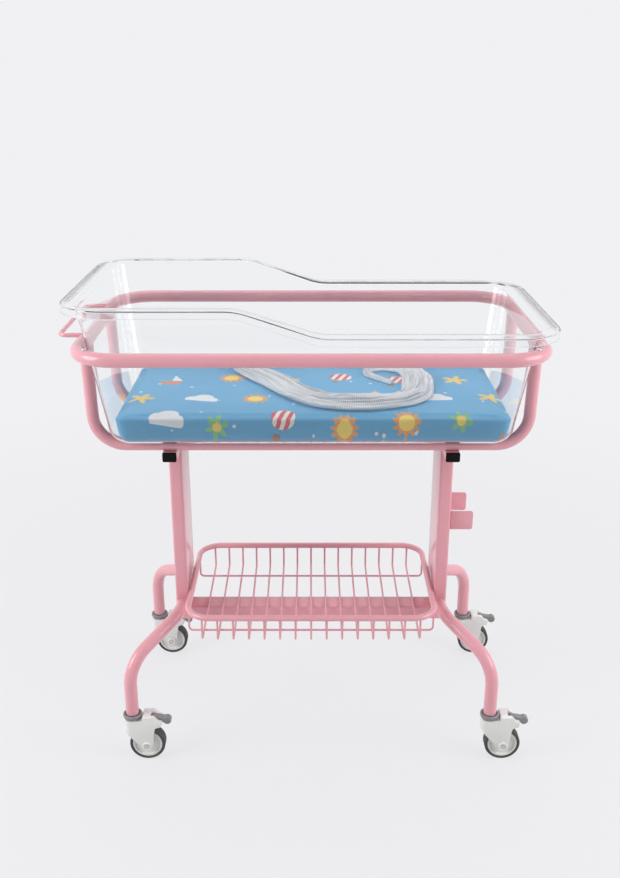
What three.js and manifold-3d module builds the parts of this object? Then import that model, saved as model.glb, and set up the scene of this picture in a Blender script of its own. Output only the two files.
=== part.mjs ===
// Hospital bassinet: a clear drop-in basin with a printed mattress, carried by a tube frame
// on four braked swivel casters. Millimetres, +Z up, +X to the foot end, floor at z = 0.
import * as THREE from 'three';
import { mergeVertices } from 'three/addons/utils/BufferGeometryUtils.js';
import Module from 'manifold-3d';

const wasm = await Module();
wasm.setup();
const { Manifold, Mesh: ManifoldMesh } = wasm;

// Fits
const seat = 0.3;            // gap between pieces that touch
const running = 0.6;         // gap round a turning pin
const weld = 0.6;            // depth that crossing wires melt into each other

// Casters
const wheelRadius = 35;
const wheelWidth = 22;
const wheelSides = 20;
const treadDepth = 5.5;
const trail = 27;            // wheel axis behind the swivel axis
const axleRadius = 4;
const axleHead = 7;
const axleHeadDepth = 3;
const hubRadius = 10;
const webWidth = 13;
const wheelGap = 3;          // between tyre and housing
const sideGap = 1.5;         // between wheel and cheek
const cheek = 4;
const headRise = 21;         // housing top above the wheel
const headRadius = 17;
const tailReach = 60;
const tailDrop = 3;
const tailHeight = 10;
const shoulderRise = 8;      // housing beside the collar, above the collar's seat
const bossRadius = 11;
const collarRadius = 18.5;
const collarHeight = 10;
const stemRadius = 5.5;
const stemInHousing = 18;
const stemInLeg = 42;
const pedalPivotX = 42;
const pedalPivotRise = 1;    // pedal pin above the housing top
const pedalReach = 25;
const pedalDrop = 6;         // pad below the pin
const pedalPadRadius = 8;
const pedalNeckRadius = 4.5;
const pedalWidth = 13;
const pinRadius = 2;
const slotDepth = 14;
const slotRoom = 2.5;

// Frame
const stemX = 347.5;
const stemY = 188;
const legRadius = 12.5;
const legBend = 70;
const legStub = 30;          // straight stretch out of the column
const legRootZ = 265;
const legShoulderZ = 210;
const beamTop = 239;
const beamHeight = 30;
const beamWidth = 44;
const columnX = 258.5;
const columnThick = 25;
const columnDepth = 115;
const columnHeight = 362;
const boxCorner = 5;
const crossWidth = 26;
const crossHeight = 18;
const crossCorner = 2.5;
const crossHalf = 123;
const capLength = 5;
const capPlug = 14;
const tubeWall = 2;
const cradleRadius = 11;
const cradleY = 112;
const cradleRise = 196;      // ring axis above the cradle's floor run
const cradleRoom = 36;       // cradle corner beyond the basin floor
const cradleBend = 58;
const ringRadius = 12;
const ringCorner = 75;
const ringEndPlay = 2.8;     // ring to basin wall at the ends
const ringSideRoom = 33;     // ring to basin wall at the sides
const railRadius = 4;
const railReach = 33;        // rail axis beyond the ring
const railHalf = 110;
const railRise = 9;
const railBend = 14;
const screwRadius = 4.5;
const screwHeight = 3;

// Bracket on the foot-end column
const earReach = 45;
const earHeight = 39;
const earSpan = 92;
const sheet = 2.5;
const bracketDrop = 136;     // top of the ears below the column top

// Basket
const basketHalfY = 152.8;
const basketDepth = 49;
const basketCorner = 45;
const basketTube = 6;
const wireRadius = 2;
const wirePitch = 30;
const wireCount = 15;
const wireBend = 8;
const longWireY = 110;

// Basin
const floorHalfX = 358;
const floorHalfY = 160;
const floorCorner = 31;
const floorRound = 26;
const draftX = 0.14;
const draftY = 0.18;
const basinWall = 3;
const rimHalfX = 425;
const rimHalfY = 235;
const rimCorner = 85;
const rimLow = 220.5;        // rim top above the basin's underside
const rimStep = 46;          // extra height of the head end
const stepStart = -124;
const stepEnd = 14;
const stepBlend = 20;         // round-off at both ends of the ramp
const lipDepth = 15;

// Mattress and folded net
const mattressPlay = 2.5;    // mattress to basin wall at the sides
const mattressEndPlay = 8.5; // and at the ends
const mattressShift = 3.5;   // it lies towards the foot end
const mattressThick = 54;
const mattressCorner = 17.5;
const mattressCrown = 3;
const mattressFoot = 22;     // how far its lower edge draws in
const mattressEdge = 5;      // how far its upper edge draws in
const coverThick = 1.2;
const basePanel = 1.2;
const netWidth = 66;
const netThick = 22;           // where the net is netWidth wide
const netFolds = 3;
const netSeat = 0.6;

// Levels and places that follow
const facet = Math.PI / wheelSides;
const axleZ = wheelRadius * Math.cos(facet);
const housingTop = axleZ + wheelRadius + headRise;
const collarZ = housingTop + seat;
const legFoot = collarZ + collarHeight + seat;
const housingWidth = wheelWidth + 2 * (sideGap + cheek);
const pivotZ = housingTop + pedalPivotRise;
const columnFoot = beamTop + seat;
const columnTop = columnFoot + columnHeight;
const crossZ = columnTop + seat + crossHeight / 2;
const cradleZ = crossZ + crossHeight / 2 + seat + cradleRadius;
const basinZ = cradleZ + cradleRadius + seat;
const ringZ = cradleZ + cradleRise;
const wallHalfX = (z) => floorHalfX + draftX * (z - basinZ);
const wallHalfY = (z) => floorHalfY + draftY * (z - basinZ);
const ringHalfX = wallHalfX(ringZ) + ringEndPlay + ringRadius;
const ringHalfY = wallHalfY(ringZ) + ringSideRoom + ringRadius;
const railX = ringHalfX + ringRadius + railReach;
const floorWireZ = beamTop + seat + wireRadius;
const basketZ = floorWireZ + basketDepth;
const basketHalfX = columnX - columnThick / 2 - seat - basketTube;
const mattressZ = basinZ + basinWall + seat;
const padHalfX = (z) => wallHalfX(z) - basinWall - mattressEndPlay;
const padHalfY = (z) => wallHalfY(z) - basinWall - mattressPlay;
const mattressTop = mattressZ + mattressThick;
const centreShift = (railX + railRadius - rimHalfX) / 2;

const vec = (x, y, z) => new THREE.Vector3(x, y, z);

// Closed solid through rings of points; a loop joins the last ring to the first.
function skin(rings, loop = false) {
  const sides = rings[0].length;
  const positions = rings.flat().flatMap((p) => [p.x, p.y, p.z]);
  const index = [];
  const joins = loop ? rings.length : rings.length - 1;
  for (let i = 0; i < joins; i += 1) {
    const a = i * sides;
    const b = ((i + 1) % rings.length) * sides;
    for (let j = 0; j < sides; j += 1) {
      const k = (j + 1) % sides;
      index.push(a + j, a + k, b + j, a + k, b + k, b + j);
    }
  }
  if (!loop) {
    capRing(rings[0], 0, positions, index, true);
    capRing(rings.at(-1), (rings.length - 1) * sides, positions, index, false);
  }
  const geometry = new THREE.BufferGeometry();
  geometry.setAttribute('position', new THREE.Float32BufferAttribute(positions, 3));
  geometry.setIndex(index);
  return geometry;
}

function capRing(ring, first, positions, index, flip) {
  const centre = ring.reduce((sum, p) => sum.add(p), vec(0, 0, 0)).divideScalar(ring.length);
  const hub = positions.length / 3;
  positions.push(centre.x, centre.y, centre.z);
  ring.forEach((_, j) => {
    const a = first + j;
    const b = first + (j + 1) % ring.length;
    index.push(hub, flip ? b : a, flip ? a : b);
  });
}

// Corner points turned into a path with round bends.
function bentPath(corners, radius, steps, loop = false) {
  const path = [];
  corners.forEach((corner, i) => {
    if (!loop && (i === 0 || i === corners.length - 1)) {
      path.push(corner.clone());
      return;
    }
    const before = corners.at(i - 1);
    const after = corners[(i + 1) % corners.length];
    const inward = corner.clone().sub(before).normalize();
    const outward = after.clone().sub(corner).normalize();
    const turn = inward.angleTo(outward);
    const start = corner.clone().addScaledVector(inward, -radius * Math.tan(turn / 2));
    const normal = outward.clone().addScaledVector(inward, -Math.cos(turn)).normalize();
    for (let k = 0; k <= steps; k += 1) {
      const angle = (turn * k) / steps;
      path.push(start.clone()
        .addScaledVector(normal, radius * (1 - Math.cos(angle)))
        .addScaledVector(inward, radius * Math.sin(angle)));
    }
  });
  return path;
}

function tangents(path, loop) {
  return path.map((point, i) => {
    const ahead = path[loop ? (i + 1) % path.length : Math.min(i + 1, path.length - 1)];
    const behind = path.at(loop ? i - 1 : Math.max(i - 1, 0));
    const toward = ahead.clone().sub(point).normalize();
    const from = point.clone().sub(behind).normalize();
    return toward.add(from).normalize();
  });
}

// Round bar along a path, its section carried without twist.
function bar(path, radius, sides, loop = false) {
  const along = tangents(path, loop);
  const side = Math.abs(along[0].z) > 0.9 ? vec(1, 0, 0) : vec(0, 0, 1);
  const rings = path.map((point, i) => {
    side.addScaledVector(along[i], -side.dot(along[i])).normalize();
    const other = along[i].clone().cross(side);
    return Array.from({ length: sides }, (_, j) => {
      const angle = (2 * Math.PI * j) / sides;
      return point.clone()
        .addScaledVector(side, radius * Math.cos(angle))
        .addScaledVector(other, radius * Math.sin(angle));
    });
  });
  return skin(rings, loop);
}

function rectangle(halfX, halfY, z) {
  return [vec(halfX, halfY, z), vec(-halfX, halfY, z), vec(-halfX, -halfY, z), vec(halfX, -halfY, z)];
}

function toManifold(geometry) {
  const bare = new THREE.BufferGeometry();
  bare.setAttribute('position', geometry.getAttribute('position').clone());
  bare.setIndex(geometry.getIndex());
  const merged = mergeVertices(bare, 1e-4);
  const vertProperties = new Float32Array(merged.getAttribute('position').array);
  const triVerts = new Uint32Array(merged.getIndex().array);
  return new Manifold(new ManifoldMesh({ numProp: 3, vertProperties, triVerts }));
}

function fromManifold(solid) {
  const mesh = solid.getMesh();
  const geometry = new THREE.BufferGeometry();
  geometry.setAttribute('position', new THREE.BufferAttribute(mesh.vertProperties, 3));
  geometry.setIndex(new THREE.BufferAttribute(mesh.triVerts, 1));
  return geometry;
}

const cut = (body, ...tools) => fromManifold(
  Manifold.difference([toManifold(body), ...tools.map(toManifold)]));
const join = (...bodies) => fromManifold(Manifold.union(bodies.map(toManifold)));

// Upright round bar between two heights.
function post(radius, z0, z1, sides) {
  return new THREE.CylinderGeometry(radius, radius, z1 - z0, sides)
    .rotateX(Math.PI / 2)
    .translate(0, 0, (z0 + z1) / 2);
}

// Round pin along Y, centred on x, z.
const pinAlongY = (radius, length, x, z, sides) => new THREE.CylinderGeometry(
  radius, radius, length, sides).translate(x, 0, z);

function roundedShape(width, height, radius) {
  const x = width / 2;
  const y = height / 2;
  const shape = new THREE.Shape();
  shape.moveTo(x, y - radius);
  shape.absarc(x - radius, y - radius, radius, 0, Math.PI / 2);
  shape.absarc(radius - x, y - radius, radius, Math.PI / 2, Math.PI);
  shape.absarc(radius - x, radius - y, radius, Math.PI, 1.5 * Math.PI);
  shape.absarc(x - radius, radius - y, radius, 1.5 * Math.PI, 2 * Math.PI);
  return shape;
}

const extrude = (shape, depth, curveSegments = 3) => new THREE.ExtrudeGeometry(
  shape, { depth, curveSegments, bevelEnabled: false });

// A shape drawn in X and Z, extruded evenly to both sides of y = 0.
const slab = (shape, width, curveSegments) => extrude(shape, width, curveSegments)
  .translate(0, 0, -width / 2)
  .rotateX(Math.PI / 2);

const pink = () => new THREE.MeshStandardMaterial({ color: 0xdd9ca8, roughness: 0.4, metalness: 0.1 });
const white = () => new THREE.MeshStandardMaterial({ color: 0xe9ebe8, roughness: 0.5, metalness: 0 });
const rubber = () => new THREE.MeshStandardMaterial({ color: 0x4a4d50, roughness: 0.85, metalness: 0 });
const black = () => new THREE.MeshStandardMaterial({ color: 0x1b1b1d, roughness: 0.6, metalness: 0 });
const steel = () => new THREE.MeshStandardMaterial({ color: 0xb9bcc0, roughness: 0.3, metalness: 1 });
const clear = () => new THREE.MeshStandardMaterial({
  color: 0xeef6f7, roughness: 0.08, metalness: 0, transparent: true, opacity: 0.3 });
const cloth = () => new THREE.MeshStandardMaterial({ color: 0x6fb0d8, roughness: 0.9, metalness: 0 });
const foam = () => new THREE.MeshStandardMaterial({ color: 0xf1ead2, roughness: 1, metalness: 0 });
const gauze = () => new THREE.MeshStandardMaterial({
  color: 0xe6e9f2, roughness: 0.7, metalness: 0, transparent: true, opacity: 0.7 });

const bassinet = new THREE.Group();
const frame = new THREE.Group();
frame.position.x = centreShift;
bassinet.add(frame);

function add(name, geometry, material, parent = frame) {
  const mesh = new THREE.Mesh(geometry, material);
  mesh.name = name;
  parent.add(mesh);
  return mesh;
}

const ends = [['head', -1], ['foot', 1]];
const sides = [['front', -1], ['rear', 1]];

// Basin carrier: ring, two cradle tubes, push rail, two screws.
function ringTube(growth = 0) {
  const path = bentPath(rectangle(ringHalfX, ringHalfY, ringZ), ringCorner, 6, true);
  return bar(path, ringRadius + growth, 12, true);
}

function cradleTube(y) {
  const cornerX = floorHalfX + cradleRoom;
  const corners = [vec(-ringHalfX, y, ringZ), vec(-cornerX, y, cradleZ),
    vec(cornerX, y, cradleZ), vec(ringHalfX, y, ringZ)];
  return cut(bar(bentPath(corners, cradleBend, 6), cradleRadius, 12), ringTube(seat));
}

function pushRail() {
  const z = ringZ + railRise;
  const corners = [vec(-ringHalfX, -railHalf, z), vec(-railX, -railHalf, z),
    vec(-railX, railHalf, z), vec(-ringHalfX, railHalf, z)];
  return cut(bar(bentPath(corners, railBend, 4), railRadius, 8), ringTube(seat));
}

function ringScrew() {
  const profile = [[0, 0], [screwRadius, 0], [screwRadius * 0.8, screwHeight * 0.7], [0, screwHeight]];
  return new THREE.LatheGeometry(profile.map(([r, h]) => new THREE.Vector2(r, h)), 10).rotateX(Math.PI / 2);
}

function addCarrier() {
  add('ring_tube', ringTube(), pink());
  sides.forEach(([side, sign]) => add(`cradle_tube_${side}`, cradleTube(sign * cradleY), pink()));
  add('push_rail', pushRail(), pink());
  const inset = ringCorner * (1 - Math.SQRT1_2);
  ends.forEach(([end, sign]) => {
    const screw = add(`ring_screw_${end}`, ringScrew(), steel());
    screw.position.set(sign * (ringHalfX - inset), inset - ringHalfY, ringZ + ringRadius + seat);
  });
}

// Cross tubes with their end caps, columns and the beam that joins them.
function crossTube() {
  const length = 2 * crossHalf;
  const body = extrude(roundedShape(crossWidth, crossHeight, crossCorner), length, 2);
  const bore = roundedShape(crossWidth - 2 * tubeWall, crossHeight - 2 * tubeWall, crossCorner / 2);
  const hole = extrude(bore, length + 2, 1).translate(0, 0, -1);
  return cut(body, hole).rotateX(Math.PI / 2).translate(0, crossHalf, 0);
}

function endCap() {
  const wall = 2 * (tubeWall + seat);
  const face = extrude(roundedShape(crossWidth, crossHeight, crossCorner), capLength, 2)
    .translate(0, 0, seat);
  const inner = roundedShape(crossWidth - wall, crossHeight - wall, crossCorner / 2);
  const plug = extrude(inner, capPlug + capLength, 1).translate(0, 0, -capPlug);
  return join(face, plug);
}

function addCrossTube(end, x) {
  add(`cross_tube_${end}`, crossTube(), pink()).position.set(x, 0, crossZ);
  sides.forEach(([side, sign]) => {
    const cap = add(`end_cap_${end}_${side}`, endCap(), black());
    cap.position.set(x, sign * crossHalf, crossZ);
    cap.rotation.x = -sign * Math.PI / 2;
  });
}

function addColumns() {
  ends.forEach(([end, sign]) => {
    const column = extrude(roundedShape(columnThick, columnDepth, boxCorner), columnHeight);
    add(`column_${end}`, column, pink()).position.set(sign * columnX, 0, columnFoot);
    addCrossTube(end, sign * columnX);
  });
  const length = 2 * columnX + columnThick;
  const beam = extrude(roundedShape(beamHeight, beamWidth, boxCorner), length);
  add('stretcher_beam', beam.rotateY(Math.PI / 2), pink())
    .position.set(-length / 2, 0, beamTop - beamHeight / 2);
}

function hookBracket() {
  const y = earSpan / 2;
  const inner = y - sheet;
  const shape = new THREE.Shape();
  shape.moveTo(0, -y);
  shape.lineTo(earReach, -y);
  shape.lineTo(earReach, -inner);
  shape.lineTo(sheet, -inner);
  shape.lineTo(sheet, inner);
  shape.lineTo(earReach, inner);
  shape.lineTo(earReach, y);
  shape.lineTo(0, y);
  return extrude(shape, earHeight);
}

function addBracket() {
  add('hook_bracket', hookBracket(), pink())
    .position.set(columnX + columnThick / 2 + seat, 0, columnTop - bracketDrop - earHeight);
}

// Legs: one bent tube from each column face to each caster stem.
function legTube() {
  const root = columnDepth / 2 + seat;
  const corners = [vec(columnX, root, legRootZ), vec(columnX, root + legStub, legRootZ),
    vec(stemX, stemY, legShoulderZ), vec(stemX, stemY, legFoot)];
  const first = bentPath(corners.slice(0, 3), legBend, 4).slice(0, -1);
  const second = bentPath(corners.slice(1), legBend, 6).slice(1);
  const bore = post(stemRadius + seat, legFoot - 1, legFoot + stemInLeg + seat, 12)
    .translate(stemX, stemY, 0);
  return cut(bar([...first, ...second], legRadius, 12), bore);
}

function mirrored(geometry, signX, signY) {
  const copy = geometry.clone().scale(signX, signY, 1);
  if (signX * signY < 0) {
    const index = copy.getIndex();
    for (let i = 0; i < index.count; i += 3) {
      const keep = index.getX(i);
      index.setX(i, index.getX(i + 1));
      index.setX(i + 1, keep);
    }
  }
  return copy;
}

// Wire basket: rim tube, cross wires and long wires.
function rimReach(x) {
  const past = Math.abs(x) - (basketHalfX - basketCorner);
  if (past <= 0) return basketHalfY;
  return basketHalfY - basketCorner + Math.sqrt(basketCorner ** 2 - past ** 2);
}

function wire(ends3, z) {
  const [a, b] = ends3;
  const top = basketZ - basketTube - seat;
  const corners = [vec(a.x, a.y, top), vec(a.x, a.y, z), vec(b.x, b.y, z), vec(b.x, b.y, top)];
  return bar(bentPath(corners, wireBend, 2), wireRadius, 6);
}

function basketWires() {
  const wires = [];
  for (let k = 0; k < wireCount; k += 1) {
    const x = wirePitch * (k - (wireCount - 1) / 2);
    wires.push(wire([vec(x, -rimReach(x), 0), vec(x, rimReach(x), 0)], floorWireZ));
  }
  sides.forEach(([, sign]) => {
    const y = sign * longWireY;
    const z = floorWireZ - 2 * wireRadius + weld;
    wires.push(wire([vec(-basketHalfX, y, 0), vec(basketHalfX, y, 0)], z));
  });
  return join(...wires);
}

function addBasket() {
  const path = bentPath(rectangle(basketHalfX, basketHalfY, basketZ), basketCorner, 6, true);
  add('basket_rim', bar(path, basketTube, 8, true), pink());
  add('basket_wires', basketWires(), pink());
}

// Casters: fixed stem and collar, swivelling housing with axle, wheel, tyre and brake pedal.
function housingShape() {
  const shape = new THREE.Shape();
  shape.moveTo(-headRadius, housingTop);
  shape.lineTo(collarRadius + running, housingTop);
  shape.lineTo(collarRadius + 2 * running, housingTop + shoulderRise);
  shape.lineTo(pedalPivotX, housingTop + shoulderRise);
  shape.lineTo(tailReach - tailHeight, housingTop - tailDrop / 2);
  shape.quadraticCurveTo(tailReach, housingTop - tailDrop, tailReach, housingTop - tailDrop - tailHeight / 2);
  shape.lineTo(tailReach - tailHeight / 2, housingTop - tailDrop - tailHeight);
  shape.lineTo(trail + 1.5 * bossRadius, housingTop - tailDrop - 1.3 * tailHeight);
  shape.lineTo(trail + bossRadius, axleZ);
  shape.absarc(trail, axleZ, bossRadius, 0, -Math.PI * 0.75, true);
  shape.lineTo(-headRadius, housingTop - headRise);
  return shape;
}

function casterHousing() {
  const pocket = pinAlongY(wheelRadius + wheelGap, wheelWidth + 2 * sideGap, trail, axleZ, 20);
  const axleHole = pinAlongY(axleRadius + seat, housingWidth + 2, trail, axleZ, 12);
  const stemHole = post(stemRadius + seat, housingTop - stemInHousing - seat, housingTop + 1, 12);
  const pinHole = pinAlongY(pinRadius + seat, housingWidth - 2 * cheek, pedalPivotX, pivotZ, 8);
  const slotLength = tailReach + 2 - pedalPivotX + pedalNeckRadius + slotRoom;
  const slotHeight = slotDepth + shoulderRise + 2;
  const slot = new THREE.BoxGeometry(slotLength, pedalWidth + 2 * running, slotHeight)
    .translate(tailReach + 2 - slotLength / 2, 0, housingTop - slotDepth + slotHeight / 2);
  return cut(slab(housingShape(), housingWidth, 6), pocket, axleHole, stemHole, pinHole, slot);
}

const turned = (profile, segments) => new THREE.LatheGeometry(
  profile.map(([r, y]) => new THREE.Vector2(r, y)), segments);

function casterAxle() {
  const half = housingWidth / 2 + seat;
  return turned([[0, -half - axleHeadDepth], [axleHead, -half - axleHeadDepth], [axleHead, -half],
    [axleRadius, -half], [axleRadius, half], [axleHead, half], [axleHead, half + axleHeadDepth],
    [0, half + axleHeadDepth]], 12);
}

function casterWheel() {
  const bore = axleRadius + running;
  const outer = wheelRadius - treadDepth;
  const lip = outer - 4;
  const half = wheelWidth / 2;
  const web = webWidth / 2;
  const profile = [[bore, -half], [hubRadius, -half], [hubRadius, -web], [lip, -web], [lip, 1 - half],
    [outer, 1 - half], [outer, half - 1], [lip, half - 1], [lip, web], [hubRadius, web],
    [hubRadius, half], [bore, half], [bore, -half]];
  return turned(profile, wheelSides);
}

function casterTyre() {
  const inner = wheelRadius - treadDepth + seat;
  const half = wheelWidth / 2;
  const round = treadDepth * 0.45;
  const profile = [[inner, -half], [wheelRadius - round, -half], [wheelRadius, round - half],
    [wheelRadius, half - round], [wheelRadius - round, half], [inner, half], [inner, -half]];
  return turned(profile, wheelSides);
}

function casterPedal() {
  const shape = new THREE.Shape();
  const lean = Math.atan2(-pedalDrop, pedalReach);
  const up = Math.PI / 2 + lean;
  shape.absarc(0, 0, pedalNeckRadius, up, up + Math.PI);
  shape.absarc(pedalReach, -pedalDrop, pedalPadRadius, lean - 2.4, lean + 2.4);
  const hole = new THREE.Path();
  hole.absarc(0, 0, pinRadius + seat, 0, 2 * Math.PI, true);
  shape.holes.push(hole);
  return slab(shape, pedalWidth, 5);
}

function casterCollar() {
  const bore = stemRadius + seat;
  const soft = collarHeight / 4;
  const profile = [[bore, 0], [collarRadius - soft, 0], [collarRadius, soft],
    [collarRadius, collarHeight - soft], [collarRadius - soft, collarHeight],
    [bore, collarHeight], [bore, 0]];
  return turned(profile, 18).rotateX(Math.PI / 2);
}

function addCaster(name, x, y) {
  const caster = new THREE.Group();
  caster.position.set(x, y, 0);
  frame.add(caster);
  const stem = post(stemRadius, housingTop - stemInHousing, legFoot + stemInLeg, 12);
  add(`caster_stem_${name}`, stem, steel(), caster);
  add(`caster_collar_${name}`, casterCollar(), rubber(), caster).position.z = collarZ;
  add(`caster_housing_${name}`, casterHousing(), white(), caster);
  const wheel = new THREE.Group();
  wheel.position.set(trail, 0, axleZ);
  wheel.rotation.y = facet;
  caster.add(wheel);
  add(`caster_axle_${name}`, casterAxle(), steel(), wheel);
  add(`caster_wheel_${name}`, casterWheel(), white(), wheel);
  add(`caster_tyre_${name}`, casterTyre(), rubber(), wheel);
  const pedal = add(`brake_pedal_${name}`, casterPedal(), rubber(), caster);
  pedal.position.set(pedalPivotX, 0, pivotZ);
  const pin = pinAlongY(pinRadius, housingWidth - 2 * (cheek + seat), pedalPivotX, pivotZ, 8);
  add(`pedal_pin_${name}`, pin, steel(), caster);
}

function addCorners() {
  const leg = legTube();
  ends.forEach(([end, signX]) => sides.forEach(([side, signY]) => {
    add(`leg_tube_${end}_${side}`, mirrored(leg, signX, signY), pink());
    addCaster(`${end}_${side}`, signX * stemX, signY * stemY);
  }));
}

// Plan outlines share these stations, so that every ring of a shell has the same points.
function planStations(cornerSteps, sideStops) {
  const stations = [];
  [[1, 1], [-1, 1], [-1, -1], [1, -1]].forEach(([signX, signY], quarter) => {
    for (let k = 0; k <= cornerSteps; k += 1) {
      stations.push({ signX, signY, angle: (Math.PI / 2) * (quarter + k / cornerSteps) });
    }
    if (quarter === 0) sideStops.toReversed().forEach((x) => stations.push({ x, signY: 1 }));
    if (quarter === 2) sideStops.forEach((x) => stations.push({ x, signY: -1 }));
  });
  return stations;
}

function stationPoint(station, halfX, halfY, corner, z) {
  if (station.angle === undefined) return vec(station.x, station.signY * halfY, z);
  return vec(station.signX * (halfX - corner) + corner * Math.cos(station.angle),
    station.signY * (halfY - corner) + corner * Math.sin(station.angle), z);
}

// Zero, then rising one for one, with a round start.
function softRise(run) {
  if (run <= -stepBlend) return 0;
  return run < stepBlend ? (run + stepBlend) ** 2 / (4 * stepBlend) : run;
}

function rimHeight(x) {
  const fall = rimStep / (stepEnd - stepStart);
  return basinZ + rimLow + rimStep - fall * (softRise(x - stepStart) - softRise(x - stepEnd));
}

// The drafted wall at a height, moved in by an inset; the foot of the wall is round.
function wallPoint(station, z, inset, round) {
  const past = Math.max(0, round - (z - basinZ - inset));
  const tuck = round - Math.sqrt(Math.max(0, round ** 2 - past ** 2));
  const halfX = wallHalfX(z) - inset - tuck;
  const halfY = wallHalfY(z) - inset - tuck;
  return stationPoint(station, halfX, halfY, floorCorner - inset - tuck / 2, z);
}

function flangePoint(station, inset, drop) {
  const flat = stationPoint(station, rimHalfX - inset, rimHalfY - inset, rimCorner - inset, 0);
  flat.z = rimHeight(flat.x) - drop;
  return flat;
}

function basin() {
  const stops = [stepStart, stepEnd].flatMap((x) => [-1, -0.4, 0.4, 1].map((k) => x + k * stepBlend));
  const stations = planStations(5, stops);
  const arcs = [0, 0.3, 0.65, 1];
  const footRing = (inset, share) => {
    const round = floorRound - inset;
    const z = basinZ + inset + round * (1 - Math.cos((share * Math.PI) / 2));
    return stations.map((s) => wallPoint(s, z, inset, round));
  };
  const topRing = (inset, drop) => stations.map((s) => {
    const edge = rimHeight(flangePoint(s, 0, 0).x) - drop;
    return wallPoint(s, edge, inset, 0);
  });
  const rim = (inset, drop) => stations.map((s) => flangePoint(s, inset, drop));
  return skin([
    ...arcs.map((share) => footRing(0, share)),
    topRing(0, basinWall),
    rim(basinWall, basinWall),
    rim(basinWall, lipDepth),
    rim(0, lipDepth),
    rim(0, 1),
    rim(1, 0),
    topRing(basinWall, 0),
    ...arcs.toReversed().map((share) => footRing(basinWall, share)),
  ]);
}

// Mattress: a cushion that fills the basin's foot, with drawn-in edges and a slight crown.
// Each step gives a share of the height, and the shares of the foot's and the edge's draw there.
const cushionSteps = [[0, 1, 0], [0.12, 0.42, 0], [0.32, 0.08, 0], [0.55, 0, 0],
  [0.86, 0, 0.1], [0.95, 0, 0.4], [1, 0, 1]];
const crownSteps = [0.85, 0.6, 0.3];
const crownAt = (share) => mattressCrown * (1 - share ** 2);

function cushionRings(inset, foot, stations) {
  const top = mattressTop - inset;
  const outline = (z, draw) => stations.map((s) => stationPoint(
    s, padHalfX(z) - inset - draw, padHalfY(z) - inset - draw, mattressCorner - draw / 2, z));
  const rings = cushionSteps.map(([height, footDraw, edgeDraw]) => outline(
    foot + (top - foot) * height, mattressFoot * footDraw + mattressEdge * edgeDraw));
  const edge = rings.at(-1);
  crownSteps.forEach((share) => rings.push(
    edge.map((p) => vec(p.x * share, p.y * share, top + crownAt(share)))));
  return rings;
}

function addMattress() {
  const stations = planStations(4, [-180, 0, 180]);
  const shell = [...cushionRings(coverThick, mattressZ, stations).toReversed(),
    ...cushionRings(0, mattressZ, stations)];
  const cover = add('mattress_cover', skin(shell), cloth());
  const inset = coverThick + seat;
  const draw = mattressFoot + inset;
  const panel = stations.map((s) => stationPoint(s, padHalfX(mattressZ) - draw,
    padHalfY(mattressZ) - draw, mattressCorner - mattressFoot / 2, mattressZ));
  const lifted = panel.map((p) => p.clone().setZ(mattressZ + basePanel));
  const base = add('mattress_base', skin([panel, lifted]), cloth());
  const core = skin(cushionRings(inset, mattressZ + basePanel + seat, stations));
  const filling = add('mattress_foam', core, foam());
  [cover, base, filling].forEach((mesh) => mesh.position.setX(mattressShift));
}

// Folded net: a gathered band with lengthwise folds, laid in a loop on the mattress, with a thin tail.
// Each stop gives x, y and the band's width there.
const netStops = [[-128, 148, 62], [-124, 118, 64], [-90, 60, 68], [-33, -27, 70], [16, -88, 68],
  [69, -106, 66], [131, -101, 66], [184, -64, 66], [204, 7, 64], [202, 62, 54], [184, 102, 40],
  [148, 120, 28], [114, 106, 20], [112, 76, 14], [134, 46, 12], [156, 22, 10]];
const netStations = 40;

function mattressHeight(x, y) {
  const share = Math.max(Math.abs(x - mattressShift) / (padHalfX(mattressTop) - mattressEdge),
    Math.abs(y) / (padHalfY(mattressTop) - mattressEdge));
  return mattressTop + crownAt(Math.min(1, share));
}

function netRing(point, across, width, steps) {
  const rise = netThick * Math.sqrt(width / netWidth);
  const lower = [];
  const upper = [];
  for (let k = 0; k <= steps; k += 1) {
    const share = (2 * k) / steps - 1;
    const x = point.x + across.x * share * width / 2;
    const y = point.y + across.y * share * width / 2;
    const base = mattressHeight(x, y) + netSeat;
    const swell = Math.sqrt(Math.max(0, 1 - share ** 4));
    const fold = 0.72 + 0.28 * Math.cos(Math.PI * netFolds * share);
    lower.push(vec(x, y, base));
    if (k > 0 && k < steps) upper.push(vec(x, y, base + rise * swell * fold));
  }
  return [...lower, ...upper.toReversed()];
}

function foldedNet() {
  const curve = new THREE.CatmullRomCurve3(netStops.map((stop) => vec(...stop)));
  const rings = curve.getSpacedPoints(netStations).map((point, i) => {
    const along = curve.getTangentAt(i / netStations);
    return netRing(point, vec(along.y, -along.x, 0).normalize(), point.z, 12);
  });
  return skin(rings.map((ring) => ring.toReversed()));
}

addCarrier();
addColumns();
addBracket();
addCorners();
addBasket();
add('basin', basin(), clear());
addMattress();
add('folded_net', foldedNet(), gauze());

export default bassinet;
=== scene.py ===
import math
import bmesh
import bpy
from mathutils import Matrix, Vector, noise
from mathutils.bvhtree import BVHTree


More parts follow.
